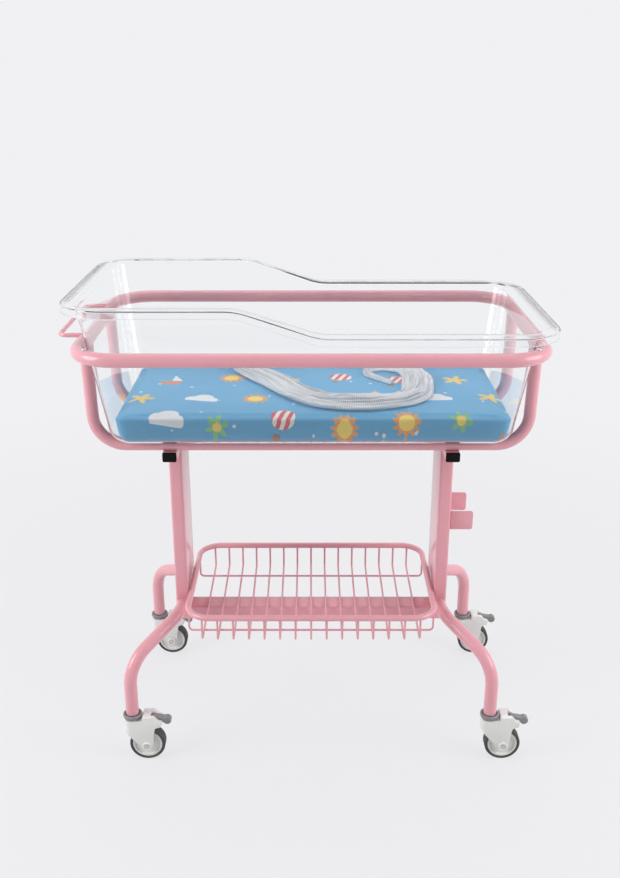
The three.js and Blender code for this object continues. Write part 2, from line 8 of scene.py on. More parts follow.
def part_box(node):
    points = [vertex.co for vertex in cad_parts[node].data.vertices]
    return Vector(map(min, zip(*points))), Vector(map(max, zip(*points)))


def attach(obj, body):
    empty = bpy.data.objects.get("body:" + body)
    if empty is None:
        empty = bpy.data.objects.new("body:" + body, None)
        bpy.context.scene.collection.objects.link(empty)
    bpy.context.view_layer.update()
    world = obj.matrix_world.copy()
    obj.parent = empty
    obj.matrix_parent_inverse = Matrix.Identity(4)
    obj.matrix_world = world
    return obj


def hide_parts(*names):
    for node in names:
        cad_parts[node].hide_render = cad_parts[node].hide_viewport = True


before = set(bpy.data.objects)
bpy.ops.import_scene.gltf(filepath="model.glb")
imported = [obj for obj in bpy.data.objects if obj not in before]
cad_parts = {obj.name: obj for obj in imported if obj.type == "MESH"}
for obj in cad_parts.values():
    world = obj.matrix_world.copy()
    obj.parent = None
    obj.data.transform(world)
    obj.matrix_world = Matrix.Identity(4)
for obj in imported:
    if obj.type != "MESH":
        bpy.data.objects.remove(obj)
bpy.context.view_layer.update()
print("frame loaded,", len(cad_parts), "nodes")

corners = ["head_front", "head_rear", "foot_front", "foot_rear"]


def middle(node):
    low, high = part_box(node)
    return (low + high) / 2


midX = middle("ring_tube").x  # the basin and its frame are centred here, the rail sticks out at one end


view = {"place": (0.0091, -1.8172, 1.2916), "pitch": 20.8745, "focalPixels": 1000, "imageHeight": 878}
studio = {"backdrop": (0.875, 0.876, 0.895), "ambient": 0.92, "frontDim": 0.62, "floorDiffuse": 0.2,
          "fadeFrom": 0.75, "fadeTo": 2.2}
lamps = [  # name, place, aim, size, watts
    ("softboxLeft", (-2.2, -0.9, 1.5), (0, 0, 0.4), 1.6, 39),
    ("softboxRight", (2.2, -0.8, 1.4), (0, 0, 0.4), 1.6, 33),
    ("softboxTop", (0.2, 0.9, 3.3), (0, 0, 0.5), 2.4, 18),
]


# 1 for a ray that shows the backdrop, straight on or by gloss or glass, and 0 for one that lights a surface
def backdropRay(tree):
    path = tree.nodes.new("ShaderNodeLightPath")
    seen = path.outputs["Is Camera Ray"]
    for name in ("Is Glossy Ray", "Is Transmission Ray"):
        seen = calc(tree, "MAXIMUM", seen, path.outputs[name])
    return calc(tree, "MULTIPLY", seen, calc(tree, "LESS_THAN", path.outputs["Diffuse Depth"], 0.5))


# a smooth step from one value to another
def smoothStep(tree, value, start, end, low, high):
    step = tree.nodes.new("ShaderNodeMapRange")
    step.interpolation_type = "SMOOTHSTEP"
    tree.links.new(value, step.inputs["Value"])
    for name, number in (("From Min", start), ("From Max", end), ("To Min", low), ("To Max", high)):
        step.inputs[name].default_value = number
    return step.outputs[0]


def makeCamera():
    data = bpy.data.cameras.new("photoCamera")
    data.sensor_fit = "VERTICAL"
    data.sensor_height = 36
    data.lens = 36 * view["focalPixels"] / view["imageHeight"]
    camera = bpy.data.objects.new("photoCamera", data)
    camera.location = view["place"]
    camera.rotation_euler = (math.radians(90 - view["pitch"]), 0, 0)
    bpy.context.scene.collection.objects.link(camera)
    bpy.context.scene.camera = camera


def makeLamps():
    for name, place, aim, size, watts in lamps:
        data = bpy.data.lights.new(name, "AREA")
        data.shape = "DISK"
        data.size = size
        data.energy = watts
        lamp = bpy.data.objects.new(name, data)
        lamp.location = place
        lamp.rotation_euler = (Vector(aim) - Vector(place)).to_track_quat("-Z", "Y").to_euler()
        bpy.context.scene.collection.objects.link(lamp)


def newMaterial(name):
    material = bpy.data.materials.new(name)
    material.use_nodes = True
    tree = material.node_tree
    return material, tree, tree.nodes["Principled BSDF"]


def feed(tree, socket, value):
    if isinstance(value, bpy.types.NodeSocket):
        tree.links.new(value, socket)
    else:
        socket.default_value = value


def calc(tree, operation, *values):
    node = tree.nodes.new("ShaderNodeMath")
    node.operation = operation
    for socket, value in zip(node.inputs, values):
        feed(tree, socket, value)
    return node.outputs[0]


def calcVector(tree, operation, *values):
    node = tree.nodes.new("ShaderNodeVectorMath")
    node.operation = operation
    for socket, value in zip(node.inputs, values):
        feed(tree, socket, value)
    return node.outputs["Value" if operation in ("DISTANCE", "LENGTH") else "Vector"]


def blendColour(tree, share, first, second):
    node = tree.nodes.new("ShaderNodeMix")
    node.data_type = "RGBA"
    feed(tree, node.inputs[0], share)
    for socket, value in ((node.inputs[6], first), (node.inputs[7], second)):
        feed(tree, socket, value if isinstance(value, bpy.types.NodeSocket) else (*value, 1))
    return node.outputs[2]


def mapRange(tree, value, low, high):
    node = tree.nodes.new("ShaderNodeMapRange")
    feed(tree, node.inputs["Value"], value)
    node.inputs["To Min"].default_value = low
    node.inputs["To Max"].default_value = high
    return node.outputs[0]


def grain(tree, scale, detail=3.0, stretch=None, source="Object"):
    place = tree.nodes.new("ShaderNodeTexCoord").outputs[source]
    if stretch:
        turn = tree.nodes.new("ShaderNodeMapping")
        turn.inputs["Scale"].default_value = stretch
        tree.links.new(place, turn.inputs["Vector"])
        place = turn.outputs[0]
    node = tree.nodes.new("ShaderNodeTexNoise")
    node.inputs["Scale"].default_value = scale
    node.inputs["Detail"].default_value = detail
    tree.links.new(place, node.inputs["Vector"])
    return node.outputs["Fac"]


def bump(tree, shader, height, strength, distance):
    node = tree.nodes.new("ShaderNodeBump")
    node.inputs["Strength"].default_value = strength
    node.inputs["Distance"].default_value = distance
    tree.links.new(height, node.inputs["Height"])
    tree.links.new(node.outputs[0], shader.inputs["Normal"])


def pinkPowderCoat():
    material, tree, shader = newMaterial("pinkPowderCoat")
    tone = blendColour(tree, grain(tree, 9), (0.740, 0.328, 0.378), (0.795, 0.378, 0.428))
    tree.links.new(tone, shader.inputs["Base Color"])
    tree.links.new(mapRange(tree, grain(tree, 60, 4), 0.24, 0.36), shader.inputs["Roughness"])
    shader.inputs["Specular IOR Level"].default_value = 0.25
    shader.inputs["Coat Weight"].default_value = 0.6
    shader.inputs["Coat Roughness"].default_value = 0.07
    bump(tree, shader, grain(tree, 850, 2), 0.12, 0.0004)  # orange peel of the sprayed powder
    return material


def whiteMoulding():
    material, tree, shader = newMaterial("whiteMoulding")
    tone = blendColour(tree, grain(tree, 40, 5), (0.74, 0.74, 0.715), (0.82, 0.82, 0.80))
    tree.links.new(tone, shader.inputs["Base Color"])
    tree.links.new(mapRange(tree, grain(tree, 120, 4), 0.36, 0.5), shader.inputs["Roughness"])
    bump(tree, shader, grain(tree, 1600, 2), 0.08, 0.0003)
    return material


def greyRubber():
    material, tree, shader = newMaterial("greyRubber")
    scuff = calc(tree, "POWER", grain(tree, 55, 6), 2.5)
    tone = blendColour(tree, scuff, (0.052, 0.051, 0.051), (0.135, 0.130, 0.128))
    tree.links.new(tone, shader.inputs["Base Color"])
    tree.links.new(mapRange(tree, grain(tree, 90, 5), 0.62, 0.88), shader.inputs["Roughness"])
    bump(tree, shader, grain(tree, 1200, 4), 0.25, 0.0004)
    return material


def greyPlastic():
    material, tree, shader = newMaterial("greyPlastic")
    tone = blendColour(tree, grain(tree, 70, 5), (0.190, 0.186, 0.192), (0.285, 0.280, 0.288))
    tree.links.new(tone, shader.inputs["Base Color"])
    tree.links.new(mapRange(tree, grain(tree, 130, 4), 0.42, 0.6), shader.inputs["Roughness"])
    bump(tree, shader, grain(tree, 2100, 2), 0.2, 0.0003)
    return material


def blackPlastic():
    material, tree, shader = newMaterial("blackPlastic")
    tone = blendColour(tree, grain(tree, 80, 5), (0.002, 0.002, 0.0022), (0.005, 0.005, 0.0053))
    tree.links.new(tone, shader.inputs["Base Color"])
    tree.links.new(mapRange(tree, grain(tree, 140, 4), 0.5, 0.7), shader.inputs["Roughness"])
    shader.inputs["Specular IOR Level"].default_value = 0.12
    bump(tree, shader, grain(tree, 2400, 2), 0.25, 0.0003)
    return material


def zincSteel():
    material, tree, shader = newMaterial("zincSteel")
    tone = blendColour(tree, grain(tree, 160, 5), (0.50, 0.51, 0.53), (0.68, 0.69, 0.71))
    tree.links.new(tone, shader.inputs["Base Color"])
    shader.inputs["Metallic"].default_value = 1
    tree.links.new(mapRange(tree, grain(tree, 300, 4), 0.24, 0.42), shader.inputs["Roughness"])
    bump(tree, shader, grain(tree, 900, 3), 0.08, 0.0002)
    return material


def clearAcrylic():
    material, tree, shader = newMaterial("clearAcrylic")
    shader.inputs["Base Color"].default_value = (0.985, 0.995, 0.997, 1)
    shader.inputs["Transmission Weight"].default_value = 1
    shader.inputs["IOR"].default_value = 1.27  # keeps the thin rim from going dark
    shader.inputs["Coat Weight"].default_value = 0.15
    shader.inputs["Coat Roughness"].default_value = 0.02
    tree.links.new(mapRange(tree, grain(tree, 28, 6), 0.008, 0.025), shader.inputs["Roughness"])
    bump(tree, shader, grain(tree, 14, 2), 0.006, 0.002)  # slight waviness of a vacuum-formed wall
    return material


coverPrint = {"cell": 0.108, "jitter": 0.2, "turn": 0.9, "blue": (0.105, 0.390, 0.660), "paleBlue": (0.14, 0.43, 0.69)}


def printedCover():
    material, tree, shader = newMaterial("printedCover")
    mapNode = tree.nodes.new("ShaderNodeUVMap")
    mapNode.uv_map = "cloth"
    flat = mapNode.outputs[0]
    place = calcVector(tree, "MULTIPLY", flat, (1 / coverPrint["cell"],) * 3)
    split = tree.nodes.new("ShaderNodeSeparateXYZ")
    tree.links.new(place, split.inputs[0])
    row = calc(tree, "FLOOR", split.outputs[1])
    along = calc(tree, "ADD", split.outputs[0], calc(tree, "MULTIPLY", row, 0.5))  # every row starts half a motif on
    column = calc(tree, "FLOOR", along)
    cellId = tree.nodes.new("ShaderNodeCombineXYZ")
    tree.links.new(column, cellId.inputs[0])
    tree.links.new(row, cellId.inputs[1])
    chance = tree.nodes.new("ShaderNodeTexWhiteNoise")
    tree.links.new(cellId.outputs[0], chance.inputs["Vector"])
    drawn = tree.nodes.new("ShaderNodeSeparateXYZ")
    tree.links.new(chance.outputs["Color"], drawn.inputs[0])
    local = tree.nodes.new("ShaderNodeCombineXYZ")
    for axis, source, luck in ((0, along, 0), (1, split.outputs[1], 1)):
        shifted = calc(tree, "SUBTRACT", calc(tree, "FRACT", source), 0.5)
        sway = calc(tree, "MULTIPLY", calc(tree, "SUBTRACT", drawn.outputs[luck], 0.5), coverPrint["jitter"])
        tree.links.new(calc(tree, "ADD", shifted, sway), local.inputs[axis])
    spin = tree.nodes.new("ShaderNodeVectorRotate")
    spin.rotation_type = "Z_AXIS"
    tree.links.new(local.outputs[0], spin.inputs["Vector"])
    turn = calc(tree, "MULTIPLY", calc(tree, "SUBTRACT", drawn.outputs[2], 0.5), coverPrint["turn"])
    tree.links.new(turn, spin.inputs["Angle"])
    point = spin.outputs[0]
    axes = tree.nodes.new("ShaderNodeSeparateXYZ")
    tree.links.new(point, axes.inputs[0])
    px, py = axes.outputs[0], axes.outputs[1]
    radius = calcVector(tree, "LENGTH", point)
    angle = calc(tree, "ARCTAN2", py, px)

    def under(a, b):
        return calc(tree, "LESS_THAN", a, b)

    def both(a, b):
        return calc(tree, "MULTIPLY", a, b)

    def either(a, b):
        return calc(tree, "MAXIMUM", a, b)

    def disc(x, y, size):
        return under(calcVector(tree, "DISTANCE", point, (x, y, 0)), size)

    def petals(count, size, depth):
        wave = calc(tree, "COSINE", calc(tree, "MULTIPLY", angle, count))
        return under(radius, calc(tree, "MULTIPLY_ADD", wave, size * depth, size * (1 - depth)))

    kind = calc(tree, "FLOOR", calc(tree, "MULTIPLY", chance.outputs["Value"], 6))

    def chosen(index, shape):
        return both(shape, calc(tree, "COMPARE", kind, float(index), 0.25))

    aboveBase = under(-0.11, py)
    cloud = both(either(either(disc(-0.15, -0.03, 0.13), disc(0.02, 0.05, 0.18)), disc(0.18, -0.03, 0.12)), aboveBase)
    balloon = disc(0, 0.08, 0.2)
    stripe = under(0, calc(tree, "SINE", calc(tree, "MULTIPLY", px, 46)))
    basketBox = both(under(calc(tree, "ABSOLUTE", px), 0.055),
                     under(calc(tree, "ABSOLUTE", calc(tree, "ADD", py, 0.25)), 0.045))
    hull = both(disc(0, -0.05, 0.22), under(py, -0.09))
    sail = both(both(under(0.0, px), under(-0.06, py)),
                under(calc(tree, "ADD", px, calc(tree, "MULTIPLY", py, 0.6)), 0.16))
    layers = [  # which motif, its shape, its colour
        (0, cloud, (0.86, 0.87, 0.88)),
        (1, petals(5, 0.24, 0.34), (0.90, 0.62, 0.10)),
        (2, petals(11, 0.24, 0.16), (0.88, 0.36, 0.07)),
        (2, disc(0, 0, 0.13), (0.93, 0.72, 0.16)),
        (3, balloon, (0.74, 0.10, 0.12)),
        (3, both(balloon, stripe), (0.90, 0.86, 0.78)),
        (3, basketBox, (0.40, 0.20, 0.09)),
        (4, hull, (0.80, 0.26, 0.09)),
        (4, sail, (0.88, 0.88, 0.86)),
        (5, petals(6, 0.2, 0.26), (0.26, 0.56, 0.20)),
        (5, disc(0, 0, 0.075), (0.90, 0.66, 0.14)),
    ]
    colour = blendColour(tree, grain(tree, 12, 4, source="UV"), coverPrint["blue"], coverPrint["paleBlue"])
    speck = tree.nodes.new("ShaderNodeTexVoronoi")
    speck.inputs["Scale"].default_value = 26
    tree.links.new(flat, speck.inputs["Vector"])
    colour = blendColour(tree, calc(tree, "MULTIPLY", under(speck.outputs["Distance"], 0.09), 0.8), colour, (0.86, 0.88, 0.9))
    for index, shape, tint in layers:
        colour = blendColour(tree, calc(tree, "MULTIPLY", chosen(index, shape), 0.92), colour, tint)
    tree.links.new(colour, shader.inputs["Base Color"])
    tree.links.new(mapRange(tree, grain(tree, 200, 3), 0.62, 0.8), shader.inputs["Roughness"])
    shader.inputs["Sheen Weight"].default_value = 0.25
    shader.inputs["Sheen Roughness"].default_value = 0.45
    weave = None
    for direction in ("X", "Y"):  # warp and weft threads
        wave = tree.nodes.new("ShaderNodeTexWave")
        wave.bands_direction = direction
        wave.inputs["Scale"].default_value = 390
        tree.links.new(flat, wave.inputs["Vector"])
        weave = wave.outputs["Fac"] if weave is None else calc(tree, "ADD", weave, wave.outputs["Fac"])
    bump(tree, shader, weave, 0.25, 0.0003)
    return material


def netGauze():
    material, tree, shader = newMaterial("netGauze")
    mapNode = tree.nodes.new("ShaderNodeUVMap")
    mapNode.uv_map = "cloth"
    flat = mapNode.outputs[0]
    threads = []
    for direction, scale in (("Y", 88), ("X", 210)):  # strong ribs across the length, finer threads along it
        wave = tree.nodes.new("ShaderNodeTexWave")
        wave.bands_direction = direction
        wave.inputs["Scale"].default_value = scale
        wave.inputs["Distortion"].default_value = 0.4
        tree.links.new(flat, wave.inputs["Vector"])
        threads.append(wave.outputs["Fac"])
    mesh = calc(tree, "MAXIMUM", threads[0], calc(tree, "MULTIPLY", threads[1], 0.6))
    streak = grain(tree, 6, 4, stretch=(24, 1.4, 1), source="UV")
    tone = blendColour(tree, streak, (0.970, 0.966, 0.982), (0.988, 0.985, 0.994))
    tree.links.new(tone, shader.inputs["Base Color"])
    shader.inputs["Roughness"].default_value = 0.2
    shader.inputs["Sheen Weight"].default_value = 1
    shader.inputs["Sheen Roughness"].default_value = 0.5
    cover = calc(tree, "ADD", mapRange(tree, mesh, 0.02, 0.30), mapRange(tree, streak, 0.04, 0.74))
    tree.links.new(cover, shader.inputs["Alpha"])  # holes between the threads
    bump(tree, shader, mesh, 0.3, 0.0004)
    return material


finishes = {
    "pink_powder_coat": pinkPowderCoat(), "zinc_steel": zincSteel(), "black_plastic": blackPlastic(),
    "grey_plastic": greyPlastic(), "white_plastic": whiteMoulding(), "grey_rubber": greyRubber(),
    "clear_plastic": clearAcrylic(), "printed_cover": printedCover(), "gauze": netGauze(),
}


def settle(name, mesh, slot, body, *nodes, sharp=35):
    build = bmesh.new()
    build.from_mesh(mesh)
    if build.calc_volume(signed=True) < 0:
        bmesh.ops.reverse_faces(build, faces=build.faces)
    build.to_mesh(mesh)
    build.free()
    mesh.materials.clear()
    mesh.materials.append(finishes[slot])
    for face in mesh.polygons:
        face.use_smooth = True
        face.material_index = 0
    mesh.set_sharp_from_angle(angle=math.radians(sharp))
    piece = bpy.data.objects.new(name, mesh)
    bpy.context.scene.collection.objects.link(piece)
    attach(piece, body)
    if nodes:
        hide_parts(*nodes)
    return piece


def meshOf(points, faces, name="shape"):
    mesh = bpy.data.meshes.new(name)
    mesh.from_pydata([tuple(p) for p in points], [], faces)
    mesh.update()
    return mesh


def loftMesh(rings, caps=True, loop=False):
    sides = len(rings[0])
    faces = []
    for i in range(len(rings) if loop else len(rings) - 1):
        a, b = i * sides, (i + 1) % len(rings) * sides
        faces += [(a + j, a + (j + 1) % sides, b + (j + 1) % sides, b + j) for j in range(sides)]
    if caps and not loop:
        last = (len(rings) - 1) * sides
        faces += [tuple(reversed(range(sides))), tuple(range(last, last + sides))]
    return meshOf([p for ring in rings for p in ring], faces)


def evaluated(piece):
    mesh = bpy.data.meshes.new_from_object(piece.evaluated_get(bpy.context.evaluated_depsgraph_get()))
    data = piece.data
    bpy.data.objects.remove(piece)
    bpy.data.meshes.remove(data)
    return mesh


def helper(mesh):
    piece = bpy.data.objects.new("helper", mesh)
    bpy.context.scene.collection.objects.link(piece)
    return piece


def carve(mesh, *steps):
    body = helper(mesh)
    tools = []
    for operation, tool in steps:
        tools.append(helper(tool))
        modifier = body.modifiers.new(operation, "BOOLEAN")
        modifier.operation = operation
        modifier.solver = "EXACT"
        modifier.object = tools[-1]
    bpy.context.view_layer.update()
    result = evaluated(body)
    for tool in tools:
        data = tool.data
        bpy.data.objects.remove(tool)
        bpy.data.meshes.remove(data)
    return result


def soften(mesh, width, segments=3, angle=35):
    body = helper(mesh)
    bevel = body.modifiers.new("bevel", "BEVEL")
    bevel.width = width
    bevel.segments = segments
    bevel.limit_method = "ANGLE"
    bevel.angle_limit = math.radians(angle)
    bevel.harden_normals = False
    bpy.context.view_layer.update()
    return evaluated(body)


def joinMeshes(*meshes):
    build = bmesh.new()
    for mesh in meshes:
        build.from_mesh(mesh)
    result = bpy.data.meshes.new("joined")
    build.to_mesh(result)
    build.free()
    return result


def moved(mesh, offset):
    copy = mesh.copy()
    copy.transform(Matrix.Translation(offset))
    return copy


# corners of a flat outline rounded off with arcs
def roundCorners(points, radius, steps, closed=True):
    path = []
    count = len(points)
    for i, point in enumerate(points):
        here = Vector(point)
        if not closed and i in (0, count - 1):
            path.append(here)
            continue
        back, on = Vector(points[i - 1]) - here, Vector(points[(i + 1) % count]) - here
        opening = back.angle(on)
        size = radius[i] if isinstance(radius, (list, tuple)) else radius
        if opening > 3.1 or size < 1e-6:
            path.append(here)
            continue
        reach = min(size / math.tan(opening / 2), back.length * 0.49, on.length * 0.49)
        size = reach * math.tan(opening / 2)
        start, end = here + back.normalized() * reach, here + on.normalized() * reach
        centre = here + (back.normalized() + on.normalized()).normalized() * (size / math.sin(opening / 2))
        first, last = start - centre, end - centre
        sweep = first.angle(last)
        for k in range(steps + 1):
            share = k / steps
            if sweep < 1e-6:
                path.append(start)
                continue
            path.append(centre + (first * math.sin((1 - share) * sweep) + last * math.sin(share * sweep)) / math.sin(sweep))
    return path


def roundedOutline(halfA, halfB, radius, steps):
    return roundCorners([(halfA, -halfB), (halfA, halfB), (-halfA, halfB), (-halfA, -halfB)], radius, steps)


# box section bar between two corners, with round long edges and slightly broken ends
def boxTube(low, high, axis, corner, edge, cornerSteps=6, edgeSteps=3):
    others = [k for k in range(3) if k != axis]
    halves = [(high[k] - low[k]) / 2 for k in others]
    centre = [(high[k] + low[k]) / 2 for k in others]
    rings = []
    levels = [(edge * (1 - math.sin(a)), low[axis] + edge * (1 - math.cos(a)))
              for a in (math.pi / 2 * k / edgeSteps for k in range(edgeSteps + 1))]
    levels += [(inset, low[axis] + high[axis] - level) for inset, level in reversed(levels)]
    for inset, level in levels:
        ring = []
        for a, b in roundedOutline(halves[0] - inset, halves[1] - inset, corner - inset * 0.5, cornerSteps):
            point = [0, 0, 0]
            point[others[0]], point[others[1]], point[axis] = centre[0] + a, centre[1] + b, level
            ring.append(point)
        rings.append(ring)
    return loftMesh(rings)


# profile of (radius, height) turned about Z, open profiles start and end on the axis
def turnedMesh(profile, steps, closed=False):
    rings = [[(r * math.cos(t), r * math.sin(t), h) for t in (2 * math.pi * j / steps for j in range(steps))]
             for r, h in profile]
    mesh = loftMesh(rings, caps=not closed, loop=closed)
    build = bmesh.new()
    build.from_mesh(mesh)
    bmesh.ops.remove_doubles(build, verts=build.verts, dist=1e-6)
    build.to_mesh(mesh)
    build.free()
    return mesh


def alongY(mesh):
    mesh.transform(Matrix.Rotation(math.radians(90), 4, "X"))
    return mesh


def cylinder(radius, low, high, steps=48):
    return turnedMesh([(radius, low), (radius, high)], steps)


# outline in X and Z pushed out to both sides of y = 0
def slab(outline, width):
    return loftMesh([[(x, -width / 2, z) for x, z in outline], [(x, width / 2, z) for x, z in outline]])


def plate(outline, low, high):
    return loftMesh([[(x, y, low) for x, y in outline], [(x, y, high) for x, y in outline]])


def bentTubeTree():
    tree = bpy.data.node_groups.new("bentTube", "GeometryNodeTree")
    tree.interface.new_socket("Geometry", in_out="INPUT", socket_type="NodeSocketGeometry")
    for name, kind in (("Tube Radius", "NodeSocketFloat"), ("Bend Radius", "NodeSocketFloat"),
                       ("Bend Steps", "NodeSocketInt"), ("Sides", "NodeSocketInt"), ("Finish", "NodeSocketMaterial")):
        tree.interface.new_socket(name, in_out="INPUT", socket_type=kind)
    tree.interface.new_socket("Geometry", in_out="OUTPUT", socket_type="NodeSocketGeometry")
    start, end = tree.nodes.new("NodeGroupInput"), tree.nodes.new("NodeGroupOutput")
    path = tree.nodes.new("GeometryNodeMeshToCurve")
    bend = tree.nodes.new("GeometryNodeFilletCurve")
    bend.mode = "POLY"
    section = tree.nodes.new("GeometryNodeCurvePrimitiveCircle")
    sweep = tree.nodes.new("GeometryNodeCurveToMesh")
    sweep.inputs["Fill Caps"].default_value = True
    real = tree.nodes.new("GeometryNodeRealizeInstances")
    paint = tree.nodes.new("GeometryNodeSetMaterial")
    for source, target in (
            (start.outputs["Geometry"], path.inputs[0]), (path.outputs[0], bend.inputs["Curve"]),
            (start.outputs["Bend Radius"], bend.inputs["Radius"]), (start.outputs["Bend Steps"], bend.inputs["Count"]),
            (bend.outputs[0], sweep.inputs["Curve"]), (start.outputs["Sides"], section.inputs["Resolution"]),
            (start.outputs["Tube Radius"], section.inputs["Radius"]), (section.outputs[0], sweep.inputs["Profile Curve"]),
            (sweep.outputs[0], real.inputs[0]), (real.outputs[0], paint.inputs["Geometry"]),
            (start.outputs["Finish"], paint.inputs["Material"]), (paint.outputs[0], end.inputs[0])):
        tree.links.new(source, target)
    return tree


tubeTree = bentTubeTree()


def runTree(tree, mesh, values):
    piece = helper(mesh)
    modifier = piece.modifiers.new(tree.name, "NODES")
    modifier.node_group = tree
    for item in tree.interface.items_tree:
        if item.in_out == "INPUT" and item.name in values:
            modifier[item.identifier] = values[item.name]
    return evaluated(piece)


def bentTube(paths, radius, bend, sides=32, steps=14, slot="pink_powder_coat"):
    points, edges = [], []
    for path, loop in paths:
        first = len(points)
        points += [tuple(p) for p in path]
        edges += [(first + i, first + i + 1) for i in range(len(path) - 1)]
        if loop:
            edges.append((len(points) - 1, first))
    mesh = bpy.data.meshes.new("path")
    mesh.from_pydata(points, edges, [])
    return runTree(tubeTree, mesh, {"Tube Radius": radius, "Bend Radius": bend, "Bend Steps": steps,
                                    "Sides": sides, "Finish": finishes[slot]})


carrier = {"ringBend": 0.075, "cradleBend": 0.058, "cradleInset": 0.0047, "railBend": 0.014, "railHalf": 0.110}


def buildCarrier():
    low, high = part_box("ring_tube")
    ringRadius = (high.z - low.z) / 2
    z = (low.z + high.z) / 2
    x0, x1, y0, y1 = low.x + ringRadius, high.x - ringRadius, low.y + ringRadius, high.y - ringRadius
    ring = bentTube([([(x1, y1, z), (x0, y1, z), (x0, y0, z), (x1, y0, z)], True)], ringRadius, carrier["ringBend"], 40, 24)
    settle("ringTube", ring, "pink_powder_coat", "frame", "ring_tube")
    for side in ("front", "rear"):
        node = "cradle_tube_" + side
        low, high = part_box(node)
        radius, y = (high.y - low.y) / 2, (low.y + high.y) / 2
        foot = low.z + radius
        inset = carrier["cradleInset"]
        path = [(x0, y, z), (x0 + inset, y, foot), (x1 - inset, y, foot), (x1, y, z)]
        settle("cradleTube_" + side, bentTube([(path, False)], radius, carrier["cradleBend"]), "pink_powder_coat", "frame", node)
    low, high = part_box("push_rail")
    radius = (high.z - low.z) / 2
    railX, railZ, half = low.x + radius, (low.z + high.z) / 2, carrier["railHalf"]
    path = [(x0, -half, railZ), (railX, -half, railZ), (railX, half, railZ), (x0, half, railZ)]
    settle("pushRail", bentTube([(path, False)], radius, carrier["railBend"], 24, 10), "pink_powder_coat", "frame", "push_rail")


screwSizes = {"slotWidth": 0.0011, "slotLength": 0.0052, "slotDepth": 0.0013}


def buildScrews():
    for end in ("head", "foot"):
        low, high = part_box("ring_screw_" + end)
        radius, rise = (high.x - low.x) / 2, high.z - low.z
        profile = [(0, -0.002), (radius * 0.7, -0.002), (radius * 0.96, 0.0), (radius, 0.0004)]
        profile += [(radius * math.cos(a), 0.0004 + (rise - 0.0004) * math.sin(a)) for a in (math.pi / 2 * k / 8 for k in range(1, 9))]
        head = turnedMesh(profile, 40)
        half, deep = screwSizes["slotLength"] / 2, rise - screwSizes["slotDepth"]
        thin = screwSizes["slotWidth"] / 2
        cuts = [("DIFFERENCE", plate([(a, -b), (a, b), (-a, b), (-a, -b)], deep, rise + 0.002)) for a, b in ((half, thin), (thin, half))]
        mesh = carve(head, *cuts)
        centre = middle("ring_screw_" + end)
        settle("ringScrew_" + end, moved(mesh, (centre.x, centre.y, low.z)), "zinc_steel", "frame", "ring_screw_" + end)


stand = {"boxCorner": 0.005, "crossCorner": 0.0026, "brokenEdge": 0.0008, "bracketBend": 0.004, "bracketSheet": 0.0025}


def buildStand():
    for end in ("head", "foot"):
        low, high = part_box("column_" + end)
        settle("column_" + end, boxTube(low, high, 2, stand["boxCorner"], stand["brokenEdge"]),
               "pink_powder_coat", "frame", "column_" + end)
        low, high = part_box("cross_tube_" + end)
        settle("crossTube_" + end, boxTube(low, high, 1, stand["crossCorner"], stand["brokenEdge"]),
               "pink_powder_coat", "frame", "cross_tube_" + end)
        tubeLow, tubeHigh = low, high
        for side, sign in (("front", -1), ("rear", 1)):
            low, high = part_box(f"end_cap_{end}_{side}")
            low, high = low.copy(), high.copy()
            if sign < 0:
                high.y = tubeLow.y - 0.0002
            else:
                low.y = tubeHigh.y + 0.0002
            settle(f"endCap_{end}_{side}", boxTube(low, high, 1, 0.003, 0.0016), "black_plastic", "frame", f"end_cap_{end}_{side}")
    low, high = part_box("stretcher_beam")
    settle("stretcherBeam", boxTube(low, high, 0, stand["boxCorner"], stand["brokenEdge"]), "pink_powder_coat", "frame", "stretcher_beam")


def buildBracket():
    low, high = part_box("hook_bracket")
    bend, thick = stand["bracketBend"], stand["bracketSheet"]
    outer = [(high.x, low.y), (low.x, low.y), (low.x, high.y), (high.x, high.y)]
    inner = [(high.x, low.y + thick), (low.x + thick, low.y + thick), (low.x + thick, high.y - thick), (high.x, high.y - thick)]
    outline = roundCorners(outer, bend, 8, False) + list(reversed(roundCorners(inner, bend - thick, 8, False)))
    sheet = plate(outline, low.z, high.z)
    back = low.x - 0.01  # ears get round tips
    tip = roundCorners([(back, low.z - 0.001), (high.x, low.z - 0.001), (high.x, high.z + 0.001), (back, high.z + 0.001)],
                       [0.001, 0.007, 0.007, 0.001], 8)
    mesh = carve(sheet, ("INTERSECT", moved(slab(tip, high.y - low.y + 0.02), (0, (low.y + high.y) / 2, 0))))
    settle("hookBracket", soften(mesh, 0.0005, 2, 50), "pink_powder_coat", "frame", "hook_bracket")


legs = {"bend": 0.070, "stub": 0.030, "rootZ": 0.265, "shoulderZ": 0.210, "radius": 0.0125}


def buildLegs():
    for corner in corners:
        end, side = corner.split("_")
        sign = -1 if side == "front" else 1
        low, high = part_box("column_" + end)
        columnX = (low.x + high.x) / 2
        root = high.y if sign > 0 else low.y
        stem = middle("caster_stem_" + corner)
        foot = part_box("leg_tube_" + corner)[0].z
        path = [(columnX, root - sign * 0.002, legs["rootZ"]), (columnX, root + sign * legs["stub"], legs["rootZ"]),
                (stem.x, stem.y, legs["shoulderZ"]), (stem.x, stem.y, foot)]
        settle("legTube_" + corner, bentTube([(path, False)], legs["radius"], legs["bend"], 36, 18),
               "pink_powder_coat", "frame", "leg_tube_" + corner)


basket = {"tube": 0.006, "corner": 0.045, "wire": 0.002, "pitch": 0.030, "count": 15, "wireBend": 0.008, "longWireY": 0.110}


